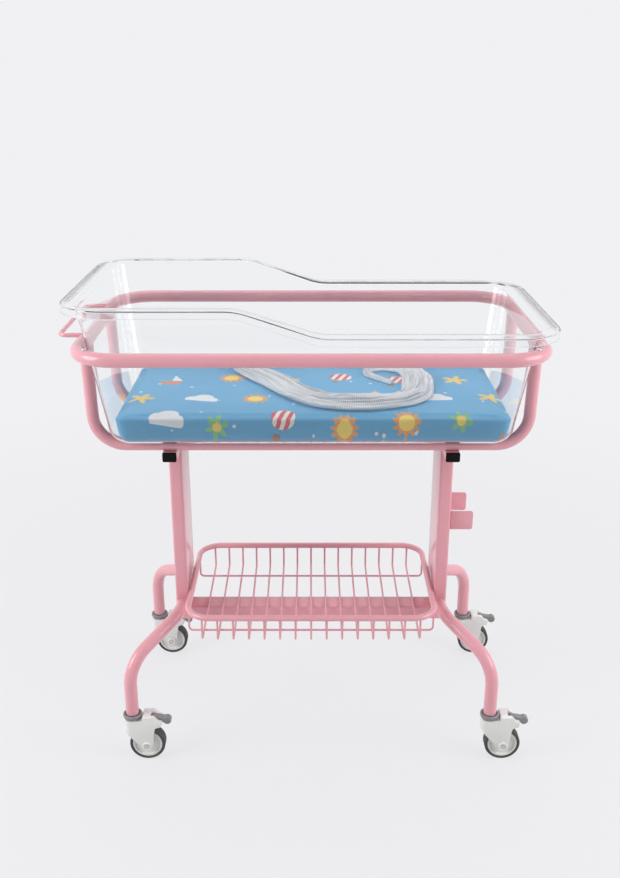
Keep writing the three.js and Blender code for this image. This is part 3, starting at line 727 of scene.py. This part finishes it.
def buildBasket():
    low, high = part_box("basket_rim")
    tube, corner, wire = basket["tube"], basket["corner"], basket["wire"]
    x0, x1, y0, y1, z = low.x + tube, high.x - tube, low.y + tube, high.y - tube, (low.z + high.z) / 2
    rim = bentTube([([(x1, y1, z), (x0, y1, z), (x0, y0, z), (x1, y0, z)], True)], tube, corner, 28, 18)
    settle("basketRim", rim, "pink_powder_coat", "frame", "basket_rim")
    centreX, halfX, halfY = (x0 + x1) / 2, (x1 - x0) / 2, y1
    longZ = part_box("basket_wires")[0].z + wire
    floorZ = longZ + 2 * wire - 0.0006  # the cross wires are welded onto the long ones
    top = z - tube * 0.6
    paths = []
    for k in range(basket["count"]):
        x = basket["pitch"] * (k - (basket["count"] - 1) / 2)
        past = max(0, abs(x) - (halfX - corner))
        y = halfY - corner + math.sqrt(corner ** 2 - past ** 2)
        x += centreX
        paths.append(([(x, -y, top), (x, -y, floorZ), (x, y, floorZ), (x, y, top)], False))
    for sign in (-1, 1):
        y = sign * basket["longWireY"]
        paths.append(([(x0, y, top), (x0, y, longZ), (x1, y, longZ), (x1, y, top)], False))
    wires = bentTube(paths, wire, basket["wireBend"], 14, 8)
    settle("basketWires", wires, "pink_powder_coat", "frame", "basket_wires")


caster = {"headRadius": 0.017, "tailReach": 0.060, "tailDrop": 0.003, "tailHeight": 0.010, "bossRadius": 0.011,
          "shoulderRise": 0.008, "shoulderX": 0.0191, "headRise": 0.021, "wheelGap": 0.003, "treadDepth": 0.0055,
          "hubRadius": 0.010, "axleRadius": 0.004, "boltRadius": 0.0062, "capRadius": 0.0092, "slotDepth": 0.014,
          "pedalX": 0.042, "pedalReach": 0.025, "pedalDrop": 0.006, "padRadius": 0.008, "neckRadius": 0.0045}


def housingMesh(top, axle, width, wheelRadius, wheelWidth, pedalWidth):
    c = caster
    tail, drop, deep, rise = c["tailReach"], c["tailDrop"], c["tailHeight"], c["shoulderRise"]
    side = [(-c["headRadius"], top), (c["shoulderX"], top), (c["shoulderX"] + 0.0006, top + rise), (c["pedalX"], top + rise),
            (tail - deep, top - drop / 2), (tail, top - drop),
            (tail - deep / 2, top - drop - deep), (axle.x + 1.5 * c["bossRadius"], top - drop - 1.3 * deep)]
    radii = [0.004, 0.001, 0.003, 0.006, 0.008, 0.004, 0.004, 0.006]
    side.append((axle.x + c["bossRadius"], axle.z))
    radii.append(0)
    for k in range(1, 17):
        a = -math.pi * 0.75 * k / 16
        side.append((axle.x + c["bossRadius"] * math.cos(a), axle.z + c["bossRadius"] * math.sin(a)))
        radii.append(0)
    side.append((-c["headRadius"], top - c["headRise"]))
    radii.append(0.005)
    body = slab(roundCorners(side, radii, 6), width)
    half = width / 2
    plan = roundCorners([(tail, -half), (tail, half), (-c["headRadius"], half), (-c["headRadius"], -half)],
                        [0.006, 0.006, 0.014, 0.014], 10)
    pocket = alongY(cylinder(wheelRadius + c["wheelGap"], -wheelWidth / 2 - 0.0015, wheelWidth / 2 + 0.0015, 72))
    pocket.transform(Matrix.Translation((axle.x, 0, axle.z)))
    slotLow = c["pedalX"] - c["neckRadius"] - 0.0025
    slotHalf = pedalWidth / 2 + 0.0006
    slot = plate([(tail + 0.002, -slotHalf), (tail + 0.002, slotHalf), (slotLow, slotHalf), (slotLow, -slotHalf)],
                 top - c["slotDepth"], top + rise + 0.002)
    mesh = carve(body, ("INTERSECT", plate(plan, -0.01, top + rise + 0.01)), ("DIFFERENCE", pocket), ("DIFFERENCE", slot))
    return soften(mesh, 0.0012, 3, 38)


def boltMesh(half, headDepth):
    shaft, head, face, sunk = caster["axleRadius"], caster["boltRadius"], half + headDepth * 0.35, half - 0.001
    nearHalf = [(shaft, sunk), (head, sunk), (head, face), (0, face)]
    parts = [turnedMesh([(r, -z) for r, z in reversed(nearHalf)] + nearHalf, 32)]
    for sign in (-1, 1):  # a six-sided socket screw head
        hexagon = [(head * 0.5 * math.cos(math.pi / 3 * k), head * 0.5 * math.sin(math.pi / 3 * k)) for k in range(6)]
        low, high = sorted((sign * (face + 0.0001), sign * (face + headDepth * 0.3)))
        parts.append(soften(plate(hexagon, low, high), 0.0004, 2, 25))
    return alongY(joinMeshes(*parts))


# the white ring round each end of the axle
def axleCapMesh(half, headDepth):
    bore, outer = caster["boltRadius"] + 0.0002, caster["capRadius"]
    ring = roundCorners([(bore, 0), (outer, 0), (outer, headDepth * 0.75), (outer - 0.0014, headDepth), (bore, headDepth)],
                        [0, 0, 0.0008, 0.0008, 0.0005], 4)
    near = moved(turnedMesh([tuple(p) for p in ring], 48, True), (0, 0, half))
    far = near.copy()
    far.transform(Matrix.Rotation(math.pi, 4, "X"))
    return alongY(joinMeshes(near, far))


def wheelMeshes(radius, width):
    c = caster
    outer, half, lip, hub = radius - c["treadDepth"], width / 2, radius - c["treadDepth"] - 0.004, c["hubRadius"]
    bore = c["axleRadius"] + 0.0006
    web = 0.0065
    profile = [(bore, -half), (hub, -half), (hub + 0.0008, -web), (lip - 0.0008, -web), (lip, 0.001 - half), (outer, 0.001 - half),
               (outer, half - 0.001), (lip, half - 0.001), (lip - 0.0008, web), (hub + 0.0008, web), (hub, half), (bore, half)]
    disc = turnedMesh([tuple(p) for p in roundCorners(profile, 0.0011, 4)], 72, True)
    inner, soft = outer + 0.0003, c["treadDepth"] * 0.45
    tread = [(inner, -half), (radius - soft, -half), (radius - soft * 0.3, -half + soft * 0.3), (radius, soft - half)]
    tread += [(radius, -0.0042), (radius - 0.0006, -0.0036), (radius, -0.003), (radius, 0.003), (radius - 0.0006, 0.0036), (radius, 0.0042)]
    tread += [(radius, half - soft), (radius - soft * 0.3, half - soft * 0.3), (radius - soft, half), (inner, half)]
    tyre = turnedMesh([tuple(p) for p in roundCorners(tread, 0.0008, 3)], 96, True)
    return alongY(disc), alongY(tyre)


# raised ribs on the wheel's web, set round the hub by one node tree
def wheelRibTree():
    tree = bpy.data.node_groups.new("wheelRibs", "GeometryNodeTree")
    tree.interface.new_socket("Geometry", in_out="INPUT", socket_type="NodeSocketGeometry")
    for name, kind in (("Rib Count", "NodeSocketInt"), ("Rib Size", "NodeSocketVector"), ("Rib Circle", "NodeSocketFloat"),
                       ("Finish", "NodeSocketMaterial")):
        tree.interface.new_socket(name, in_out="INPUT", socket_type=kind)
    tree.interface.new_socket("Geometry", in_out="OUTPUT", socket_type="NodeSocketGeometry")
    start, end = tree.nodes.new("NodeGroupInput"), tree.nodes.new("NodeGroupOutput")
    circle = tree.nodes.new("GeometryNodeCurvePrimitiveCircle")
    spots = tree.nodes.new("GeometryNodeCurveToPoints")
    spots.mode = "EVALUATED"
    rib = tree.nodes.new("GeometryNodeMeshCube")
    scatter = tree.nodes.new("GeometryNodeInstanceOnPoints")
    real = tree.nodes.new("GeometryNodeRealizeInstances")
    paint = tree.nodes.new("GeometryNodeSetMaterial")
    for source, target in (
            (start.outputs["Rib Count"], circle.inputs["Resolution"]), (start.outputs["Rib Circle"], circle.inputs["Radius"]),
            (circle.outputs[0], spots.inputs["Curve"]), (start.outputs["Rib Size"], rib.inputs["Size"]),
            (spots.outputs["Points"], scatter.inputs["Points"]), (spots.outputs["Rotation"], scatter.inputs["Rotation"]),
            (rib.outputs["Mesh"], scatter.inputs["Instance"]), (scatter.outputs[0], real.inputs[0]),
            (real.outputs[0], paint.inputs["Geometry"]), (start.outputs["Finish"], paint.inputs["Material"]),
            (paint.outputs[0], end.inputs[0])):
        tree.links.new(source, target)
    return tree


def pedalMesh(width):
    c = caster
    lean = math.atan2(-c["pedalDrop"], c["pedalReach"])
    outline = [(c["neckRadius"] * math.cos(a), c["neckRadius"] * math.sin(a))
               for a in (math.pi / 2 + lean + math.pi * k / 14 for k in range(15))]
    outline += [(c["pedalReach"] + c["padRadius"] * math.cos(a), c["padRadius"] * math.sin(a) - c["pedalDrop"])
                for a in (lean - 2.4 + 4.8 * k / 36 for k in range(37))]
    return soften(slab(outline, width), 0.0016, 4, 50)


def collarMesh(radius, height):
    step = radius * 0.9
    profile = [(step * 0.96, 0), (step, 0.0008), (step, height * 0.42), (radius, height * 0.5), (radius, height * 0.86),
               (radius * 0.94, height), (radius * 0.78, height), (radius * 0.74, height * 0.8)]
    rounded = [(0, 0)] + [tuple(p) for p in roundCorners(profile, 0.0007, 4, False)] + [(0, height * 0.8)]
    return turnedMesh(rounded, 56)


def buildCasters():
    corner = corners[0]
    stem = middle("caster_stem_" + corner)
    shift = Vector((stem.x, stem.y, 0))
    low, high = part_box("caster_housing_" + corner)
    top, width = high.z - caster["shoulderRise"], high.y - low.y
    axle = middle("caster_axle_" + corner) - shift
    tyreLow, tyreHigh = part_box("caster_tyre_" + corner)
    wheelRadius, wheelWidth = (tyreHigh.x - tyreLow.x) / 2, tyreHigh.y - tyreLow.y
    pedalLow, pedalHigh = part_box("brake_pedal_" + corner)
    pin = middle("pedal_pin_" + corner) - shift
    housing = housingMesh(top, axle, width, wheelRadius, wheelWidth, pedalHigh.y - pedalLow.y)
    axleLow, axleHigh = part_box("caster_axle_" + corner)
    headDepth = 0.003
    half = (axleHigh.y - axleLow.y) / 2 - headDepth
    bolt, cap = boltMesh(half, headDepth), axleCapMesh(half, headDepth)
    for mesh in (bolt, cap):
        mesh.transform(Matrix.Translation(axle))
    disc, tyre = wheelMeshes(wheelRadius, wheelWidth)
    ribSize = (0.0105, 0.0022, 0.0152)
    ribs = runTree(wheelRibTree(), meshOf([], []), {"Rib Count": 8, "Rib Size": ribSize, "Rib Circle": 0.0168,
                                                    "Finish": finishes["white_plastic"]})
    disc = joinMeshes(disc, alongY(ribs))
    for mesh in (disc, tyre):
        mesh.transform(Matrix.Translation(axle))
    pedal = pedalMesh(pedalHigh.y - pedalLow.y)
    pedal.transform(Matrix.Translation(pin))
    low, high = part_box("caster_collar_" + corner)
    collar = collarMesh((high.x - low.x) / 2, high.z - low.z)
    collar.transform(Matrix.Translation((0, 0, low.z)))
    for corner in corners:
        stem = middle("caster_stem_" + corner)
        shift = Vector((stem.x, stem.y, 0))
        settle("casterHousing_" + corner, moved(housing, shift), "white_plastic", "swivel_" + corner, "caster_housing_" + corner)
        settle("axleBolt_" + corner, moved(bolt, shift), "zinc_steel", "swivel_" + corner, "caster_axle_" + corner)
        settle("axleCap_" + corner, moved(cap, shift), "white_plastic", "swivel_" + corner)
        settle("casterWheel_" + corner, moved(disc, shift), "white_plastic", "wheel_" + corner, "caster_wheel_" + corner)
        settle("casterTyre_" + corner, moved(tyre, shift), "grey_rubber", "wheel_" + corner, "caster_tyre_" + corner)
        settle("brakePedal_" + corner, moved(pedal, shift), "grey_plastic", "pedal_" + corner, "brake_pedal_" + corner)
        settle("casterCollar_" + corner, moved(collar, shift), "grey_plastic", "frame", "caster_collar_" + corner)
        for node in ("caster_stem_", "pedal_pin_"):
            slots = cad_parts[node + corner].data.materials
            slots.clear()
            slots.append(finishes["zinc_steel"])


basinSizes = {"floorHalfX": 0.358, "floorHalfY": 0.160, "floorCorner": 0.031, "floorRound": 0.026, "draftX": 0.14, "draftY": 0.18,
              "wall": 0.003, "rimCorner": 0.085, "rimStep": 0.046, "stepStart": -0.124, "stepEnd": 0.014, "stepBlend": 0.020, "lip": 0.015,
              "rimRoll": 0.008, "edgeRoll": 0.0026, "cornerSteps": 16, "stepStops": 26}


def planStations(cornerSteps, stops):
    stations = []
    for quarter, (signX, signY) in enumerate(((1, 1), (-1, 1), (-1, -1), (1, -1))):
        stations += [(signX, signY, math.pi / 2 * (quarter + k / cornerSteps)) for k in range(cornerSteps + 1)]
        if quarter == 0:
            stations += [(x, 1, None) for x in reversed(stops)]
        if quarter == 2:
            stations += [(x, -1, None) for x in stops]
    return stations


def stationPoint(station, halfX, halfY, corner, z):
    a, b, angle = station
    if angle is None:
        return Vector((a, b * halfY, z))
    return Vector((a * (halfX - corner) + corner * math.cos(angle), b * (halfY - corner) + corner * math.sin(angle), z))


def basinMesh():
    s = basinSizes
    low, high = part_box("basin")
    foot, rimHalfX, rimHalfY = low.z, (high.x - low.x) / 2, (high.y - low.y) / 2
    rimLow = high.z - s["rimStep"]
    blend, fall = s["stepBlend"], s["rimStep"] / (s["stepEnd"] - s["stepStart"])
    count = s["stepStops"] // 2
    stops = [x + blend * (2 * k / count - 1) for x in (s["stepStart"], s["stepEnd"]) for k in range(count + 1)]
    stations = planStations(s["cornerSteps"], stops)

    def softRise(run):  # zero, then one for one, with a round start
        return 0 if run <= -blend else (run + blend) ** 2 / (4 * blend) if run < blend else run

    def rimHeight(x):
        return rimLow + s["rimStep"] - fall * (softRise(x - s["stepStart"]) - softRise(x - s["stepEnd"]))

    def wallPoint(station, z, inset, curl=0):
        past = max(0, curl - (z - foot - inset))
        tuck = curl - math.sqrt(max(0, curl ** 2 - past ** 2))
        return stationPoint(station, s["floorHalfX"] + s["draftX"] * (z - foot) - inset - tuck,
                            s["floorHalfY"] + s["draftY"] * (z - foot) - inset - tuck, s["floorCorner"] - inset - tuck / 2, z)

    def rimPoint(station, inset, drop):
        flat = stationPoint(station, rimHalfX - inset, rimHalfY - inset, s["rimCorner"] - inset, 0)
        flat.z = rimHeight(stationPoint(station, rimHalfX, rimHalfY, s["rimCorner"], 0).x) - drop
        return flat

    def footRing(inset, share):
        z = foot + inset + (s["floorRound"] - inset) * (1 - math.cos(share * math.pi / 2))
        return [wallPoint(station, z, inset, s["floorRound"] - inset) for station in stations]

    # the wall rolls over into the flange; outside and inside follow the same bend
    def rollRing(inset, roll, turn):
        ring = []
        for station in stations:
            edge = rimPoint(station, 0, 0)
            z = edge.z - s["rimRoll"] + roll * math.sin(turn)
            wall = wallPoint(station, z, inset)
            outward = Vector((edge.x - wall.x, edge.y - wall.y, 0)).normalized()
            ring.append(wall + outward * roll * (1 - math.cos(turn)))
        return ring

    def rimRing(inset, drop):
        return [rimPoint(station, inset, drop) for station in stations]

    turns = [math.pi / 2 * k / 5 for k in range(6)]
    arcs = [k / 7 for k in range(8)]
    t, lip, e = s["wall"], s["lip"], s["edgeRoll"]
    rings = [footRing(0, share) for share in arcs]
    rings += [rollRing(0, s["rimRoll"] - t, turn) for turn in turns]
    rings += [rimRing(t + 0.001 * (1 - math.sin(turn)), t + 0.001 * (1 - math.cos(turn))) for turn in turns[:: 2] + turns[-1:]]
    rings += [rimRing(t - 0.0015 * (1 - math.cos(turn)), lip - 0.0015 * (1 - math.sin(turn))) for turn in turns]
    rings += [rimRing(0.0015 * (1 - math.sin(turn)), lip - 0.0015 * (1 - math.cos(turn))) for turn in turns[1:]]
    rings += [rimRing(e * (1 - math.cos(turn)), e * (1 - math.sin(turn))) for turn in turns]
    rings += [rollRing(t, s["rimRoll"], turn) for turn in reversed(turns)]
    rings += [footRing(t, share) for share in reversed(arcs)]
    mesh = loftMesh(rings)
    mesh.transform(Matrix.Translation((midX, 0, 0)))
    return mesh


def buildBasin():
    settle("basin", basinMesh(), "clear_plastic", "basin", "basin", sharp=60)


mattress = {"smaller": 0.001, "corner": 0.0165, "foot": 0.022, "edge": 0.0025, "crown": 0.003, "sidePlay": 0.0025,
            "endPlay": 0.0085, "voxel": 0.0033, "pressure": 4, "cap": 0.003, "frames": 20}
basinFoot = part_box("basin")[0].z


# the basin's inner half sizes at a height, less the play
def padHalves(z):
    s, up = basinSizes, z - basinFoot
    return (s["floorHalfX"] + s["draftX"] * up - s["wall"] - mattress["endPlay"],
            s["floorHalfY"] + s["draftY"] * up - s["wall"] - mattress["sidePlay"])


def mattressShape():
    low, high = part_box("mattress_cover")
    m = mattress
    top = high.z - m["crown"] - m["smaller"] * 0.4
    stations = planStations(10, [-0.27 + 0.06 * k for k in range(10)])
    rings = []

    def outline(z, draw):
        halfX, halfY = padHalves(z)
        draw += m["smaller"]
        return [stationPoint(s, halfX - draw, halfY - draw, m["corner"] - draw / 2, z) for s in stations]

    for k in range(7):  # the lower edge follows the basin's round foot
        turn = math.pi / 2 * k / 6
        rings.append(outline(low.z + m["foot"] * (1 - math.cos(turn)), m["foot"] * (1 - math.sin(turn))))
    for k in range(5):
        turn = math.pi / 2 * k / 4
        rings.append(outline(top - m["edge"] * (1 - math.sin(turn)), m["edge"] * (1 - math.cos(turn))))
    edge = rings[-1]
    for share in (0.93, 0.8, 0.6, 0.35):
        rings.append([Vector((p.x * share, p.y * share, top + m["crown"] * (1 - share ** 4))) for p in edge])
    mesh = loftMesh(rings)
    mesh.transform(Matrix.Translation(((low.x + high.x) / 2, 0, 0)))
    return mesh


def inflate(mesh):
    m = mattress
    pad = helper(mesh)
    remesh = pad.modifiers.new("remesh", "REMESH")
    remesh.mode = "VOXEL"
    remesh.voxel_size = m["voxel"]
    bpy.context.view_layer.update()
    mesh = evaluated(pad)
    rest = [v.co.copy() for v in mesh.vertices]
    pad = helper(mesh)
    cloth = pad.modifiers.new("cloth", "CLOTH")
    cloth.settings.use_pressure = True
    cloth.settings.uniform_pressure_force = m["pressure"]
    cloth.settings.effector_weights.gravity = 0
    cloth.settings.quality = 6
    cloth.point_cache.frame_start = 1
    cloth.point_cache.frame_end = m["frames"]
    scene = bpy.context.scene
    for step in range(1, m["frames"] + 1):
        scene.frame_set(step)
    mesh = evaluated(pad)
    scene.frame_set(1)
    for vertex, before in zip(mesh.vertices, rest):
        move = vertex.co - before
        if move.length > m["cap"]:
            vertex.co = before + move.normalized() * m["cap"]
    return mesh


# cloth coordinates in metres: the sides fold down from the top panel
def clothMap(mesh, low, high):
    inner = 0.045
    layer = mesh.uv_layers.new(name="cloth")
    cx, halfX, halfY, top = (low.x + high.x) / 2, (high.x - low.x) / 2 - inner, (high.y - low.y) / 2 - inner, high.z - 0.012
    for loop in mesh.loops:
        co = mesh.vertices[loop.vertex_index].co
        flat = Vector((co.x - cx, co.y))
        near = Vector((max(-halfX, min(halfX, flat.x)), max(-halfY, min(halfY, flat.y))))
        away = flat - near
        if away.length > 1e-6:
            flat = near + away.normalized() * (away.length + max(0, top - co.z))
        layer.data[loop.index].uv = flat


def buildMattress():
    low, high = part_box("mattress_cover")
    mesh = inflate(mattressShape())
    cx = (low.x + high.x) / 2
    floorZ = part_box("mattress_base")[0].z
    for vertex in mesh.vertices:  # stays in the room that the basin leaves
        co = vertex.co
        halfX, halfY = padHalves(co.z)
        co.x = cx + max(-halfX, min(halfX, co.x - cx))
        co.y = max(-halfY, min(halfY, co.y))
        co.z = max(floorZ, min(high.z + 0.0005, co.z))
        wrinkle = noise.noise(Vector((co.x * 9, co.y * 14, 3))) * 0.0012 + noise.noise(Vector((co.x * 26, co.y * 30, 7))) * 0.0005
        co.z += wrinkle * max(0, min(1, (co.z - floorZ) / 0.03))
    pad = helper(mesh)
    smooth = pad.modifiers.new("smooth", "SMOOTH")
    smooth.factor = 0.5
    smooth.iterations = 2
    bpy.context.view_layer.update()
    mesh = evaluated(pad)
    clothMap(mesh, low, high)
    piece = settle("mattress", mesh, "printed_cover", "mattress", "mattress_cover", "mattress_base", "mattress_foam", sharp=80)
    return piece


net = {"pleats": 8, "fullWidth": 0.066, "rise": 0.021, "lift": 0.0010, "cloth": 0.0004, "stations": 240,
       "lean": 0.0045, "valley": 0.2,
       "stops": [  # x, y and the bundle's width there
           (-0.128, 0.148, 0.062), (-0.124, 0.118, 0.064), (-0.090, 0.060, 0.068), (-0.033, -0.027, 0.070),
           (0.016, -0.088, 0.068), (0.069, -0.106, 0.066), (0.131, -0.101, 0.066), (0.184, -0.064, 0.066),
           (0.204, 0.007, 0.064), (0.202, 0.062, 0.054), (0.184, 0.102, 0.040), (0.148, 0.120, 0.028),
           (0.114, 0.106, 0.020), (0.112, 0.076, 0.014), (0.134, 0.046, 0.012), (0.156, 0.022, 0.010)]}


# even steps along a smooth curve through the stops
def smoothRoute(stops, count):
    points = [Vector(stop) for stop in stops]
    ends = [points[0] * 2 - points[1]] + points + [points[-1] * 2 - points[-2]]
    fine = []
    for a, b, c, d in zip(ends, ends[1:], ends[2:], ends[3:]):
        before, here, after = (math.sqrt((q - p).length) for p, q in ((a, b), (b, c), (c, d)))
        leave = ((b - a) / before - (c - a) / (before + here) + (c - b) / here) * here
        arrive = ((c - b) / here - (d - b) / (here + after) + (d - c) / after) * here
        for k in range(40):
            t = k / 40
            fine.append(b * (2 * t ** 3 - 3 * t * t + 1) + leave * (t ** 3 - 2 * t * t + t)
                        + c * (3 * t * t - 2 * t ** 3) + arrive * (t ** 3 - t * t))
    fine.append(points[-1])
    lengths = [0]
    for a, b in zip(fine, fine[1:]):
        lengths.append(lengths[-1] + (b - a).xy.length)
    out, i = [], 0
    for k in range(count):
        target = lengths[-1] * k / (count - 1)
        while i < len(fine) - 2 and lengths[i + 1] < target:
            i += 1
        span = max(1e-9, lengths[i + 1] - lengths[i])
        out.append(fine[i].lerp(fine[i + 1], (target - lengths[i]) / span))
    return out, lengths[-1]


# one cut through the gathered cloth at a place along the route: a rounded bundle of pleats that lean over each other
def pleatSection(i, curl, width):
    half, steps, count = width / 2, 10, net["pleats"]
    share = width / net["fullWidth"]
    points = []
    for k in range(count * steps + 1):
        pleat = min(k // steps, count - 1)
        within = k / steps - pleat
        across = half * (2 * k / (count * steps) - 1)
        wander = noise.noise(Vector((i * 0.024, pleat * 3.7, 1.5)))
        dome = max(0.06, 1 - abs(across / half) ** 2.6) ** 0.5
        crumple = 0.3 * curl * noise.noise(Vector((i * 0.13, pleat * 2.9, 8.1)))
        tall = net["rise"] * math.sqrt(share) * dome * (0.78 + 0.34 * wander + crumple)
        bulge = math.sin(math.pi * within) ** 0.9
        lean = net["lean"] * share * (0.4 + 1.8 * noise.noise(Vector((i * 0.03, pleat * 5.3, 4.4))))
        ripple = noise.noise(Vector((i * 0.11, k * 0.33, 2.2))) * 0.0012 * (0.4 + curl) * share
        points.append((across * 0.94 + lean * bulge, max(0, tall * (1 - net["valley"] * (1 - bulge)) + ripple * dome)))
    return points


def buildNet(pad):
    route, length = smoothRoute(net["stops"], net["stations"])
    build = bmesh.new()
    build.from_mesh(pad.data)
    ground = BVHTree.FromBMesh(build)
    build.free()
    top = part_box("mattress_cover")[1].z
    verts, faces, maps, widths = [], [], [], []
    for i, centre in enumerate(route):
        along = (route[min(i + 1, len(route) - 1)] - route[max(i - 1, 0)]).xy.normalized()
        across = Vector((along.y, -along.x))
        before, after = route[max(i - 6, 0)], route[min(i + 6, len(route) - 1)]
        curl = min(1, max(0, ((before + after) / 2 - centre).xy.length / 0.004))  # tight turns crumple
        section = pleatSection(i, curl, centre.z)
        travelled = 0
        sway = noise.noise(Vector((i * 0.04, 11, 2.3))) * 0.004 * centre.z / net["fullWidth"]
        for j, (s, h) in enumerate(section):
            if j:
                travelled += (Vector(section[j]) - Vector(section[j - 1])).length
            x, y = centre.x + midX + across.x * (s + sway), centre.y + across.y * (s + sway)
            hit = ground.ray_cast(Vector((x, y, 2)), Vector((0, 0, -1)))[0]
            verts.append((x, y, (hit.z if hit else top) + net["lift"] + h))
            maps.append((travelled, i / (len(route) - 1) * length))
        widths.append(travelled)
    count = len(section)
    for i in range(len(route) - 1):
        faces += [(i * count + j, i * count + j + 1, (i + 1) * count + j + 1, (i + 1) * count + j) for j in range(count - 1)]
    mesh = meshOf(verts, faces)
    layer = mesh.uv_layers.new(name="cloth")
    for loop in mesh.loops:
        layer.data[loop.index].uv = maps[loop.vertex_index]
    sheet = helper(mesh)
    thick = sheet.modifiers.new("thick", "SOLIDIFY")
    thick.thickness = net["cloth"]
    thick.offset = 0
    bpy.context.view_layer.update()
    piece = settle("foldedNet", evaluated(sheet), "gauze", "net", "folded_net", sharp=80)


def buildStudio():
    floor = helper(meshOf([(-9, -9, 0), (9, -9, 0), (9, 9, 0), (-9, 9, 0)], [(0, 1, 2, 3)], "floor"))
    floor.name = "floor"
    material, tree, shader = newMaterial("paleFloor")
    pale = (*studio["backdrop"], 1)
    shader.inputs["Base Color"].default_value = (0.64, 0.64, 0.65, 1)
    shader.inputs["Roughness"].default_value = 0.75
    glow = tree.nodes.new("ShaderNodeEmission")
    glow.inputs["Color"].default_value = pale
    spot = tree.nodes.new("ShaderNodeTexCoord")
    away = calcVector(tree, "LENGTH", spot.outputs["Object"])
    fade = smoothStep(tree, away, studio["fadeFrom"], studio["fadeTo"], 1 - studio["floorDiffuse"], 1)
    mix = tree.nodes.new("ShaderNodeMixShader")
    tree.links.new(calc(tree, "MULTIPLY", fade, backdropRay(tree)), mix.inputs[0])
    tree.links.new(shader.outputs[0], mix.inputs[1])
    tree.links.new(glow.outputs[0], mix.inputs[2])
    tree.links.new(mix.outputs[0], tree.nodes["Material Output"].inputs[0])
    floor.data.materials.append(material)
    world = bpy.data.worlds.new("studio")
    bpy.context.scene.world = world
    world.use_nodes = True
    tree = world.node_tree
    back = tree.nodes["Background"]
    back.inputs["Color"].default_value = pale
    heading = tree.nodes.new("ShaderNodeSeparateXYZ")
    tree.links.new(tree.nodes.new("ShaderNodeTexCoord").outputs["Generated"], heading.inputs[0])
    dim = studio["ambient"] * (1 - studio["frontDim"])  # the room on the near side is dimmer
    lit = smoothStep(tree, heading.outputs[1], -0.8, 0.2, dim, studio["ambient"])
    tree.links.new(calc(tree, "MAXIMUM", backdropRay(tree), lit), back.inputs["Strength"])
    bpy.context.scene.view_settings.view_transform = "Standard"


makeCamera()
makeLamps()
buildStudio()
print("camera and studio done")
buildCarrier()
buildScrews()
buildStand()
buildBracket()
buildLegs()
buildBasket()
print("frame pieces done")
buildCasters()
print("casters done")
buildBasin()
print("basin done")
pad = buildMattress()
print("mattress done,", len(pad.data.polygons), "faces")
buildNet(pad)

print("all pieces placed")
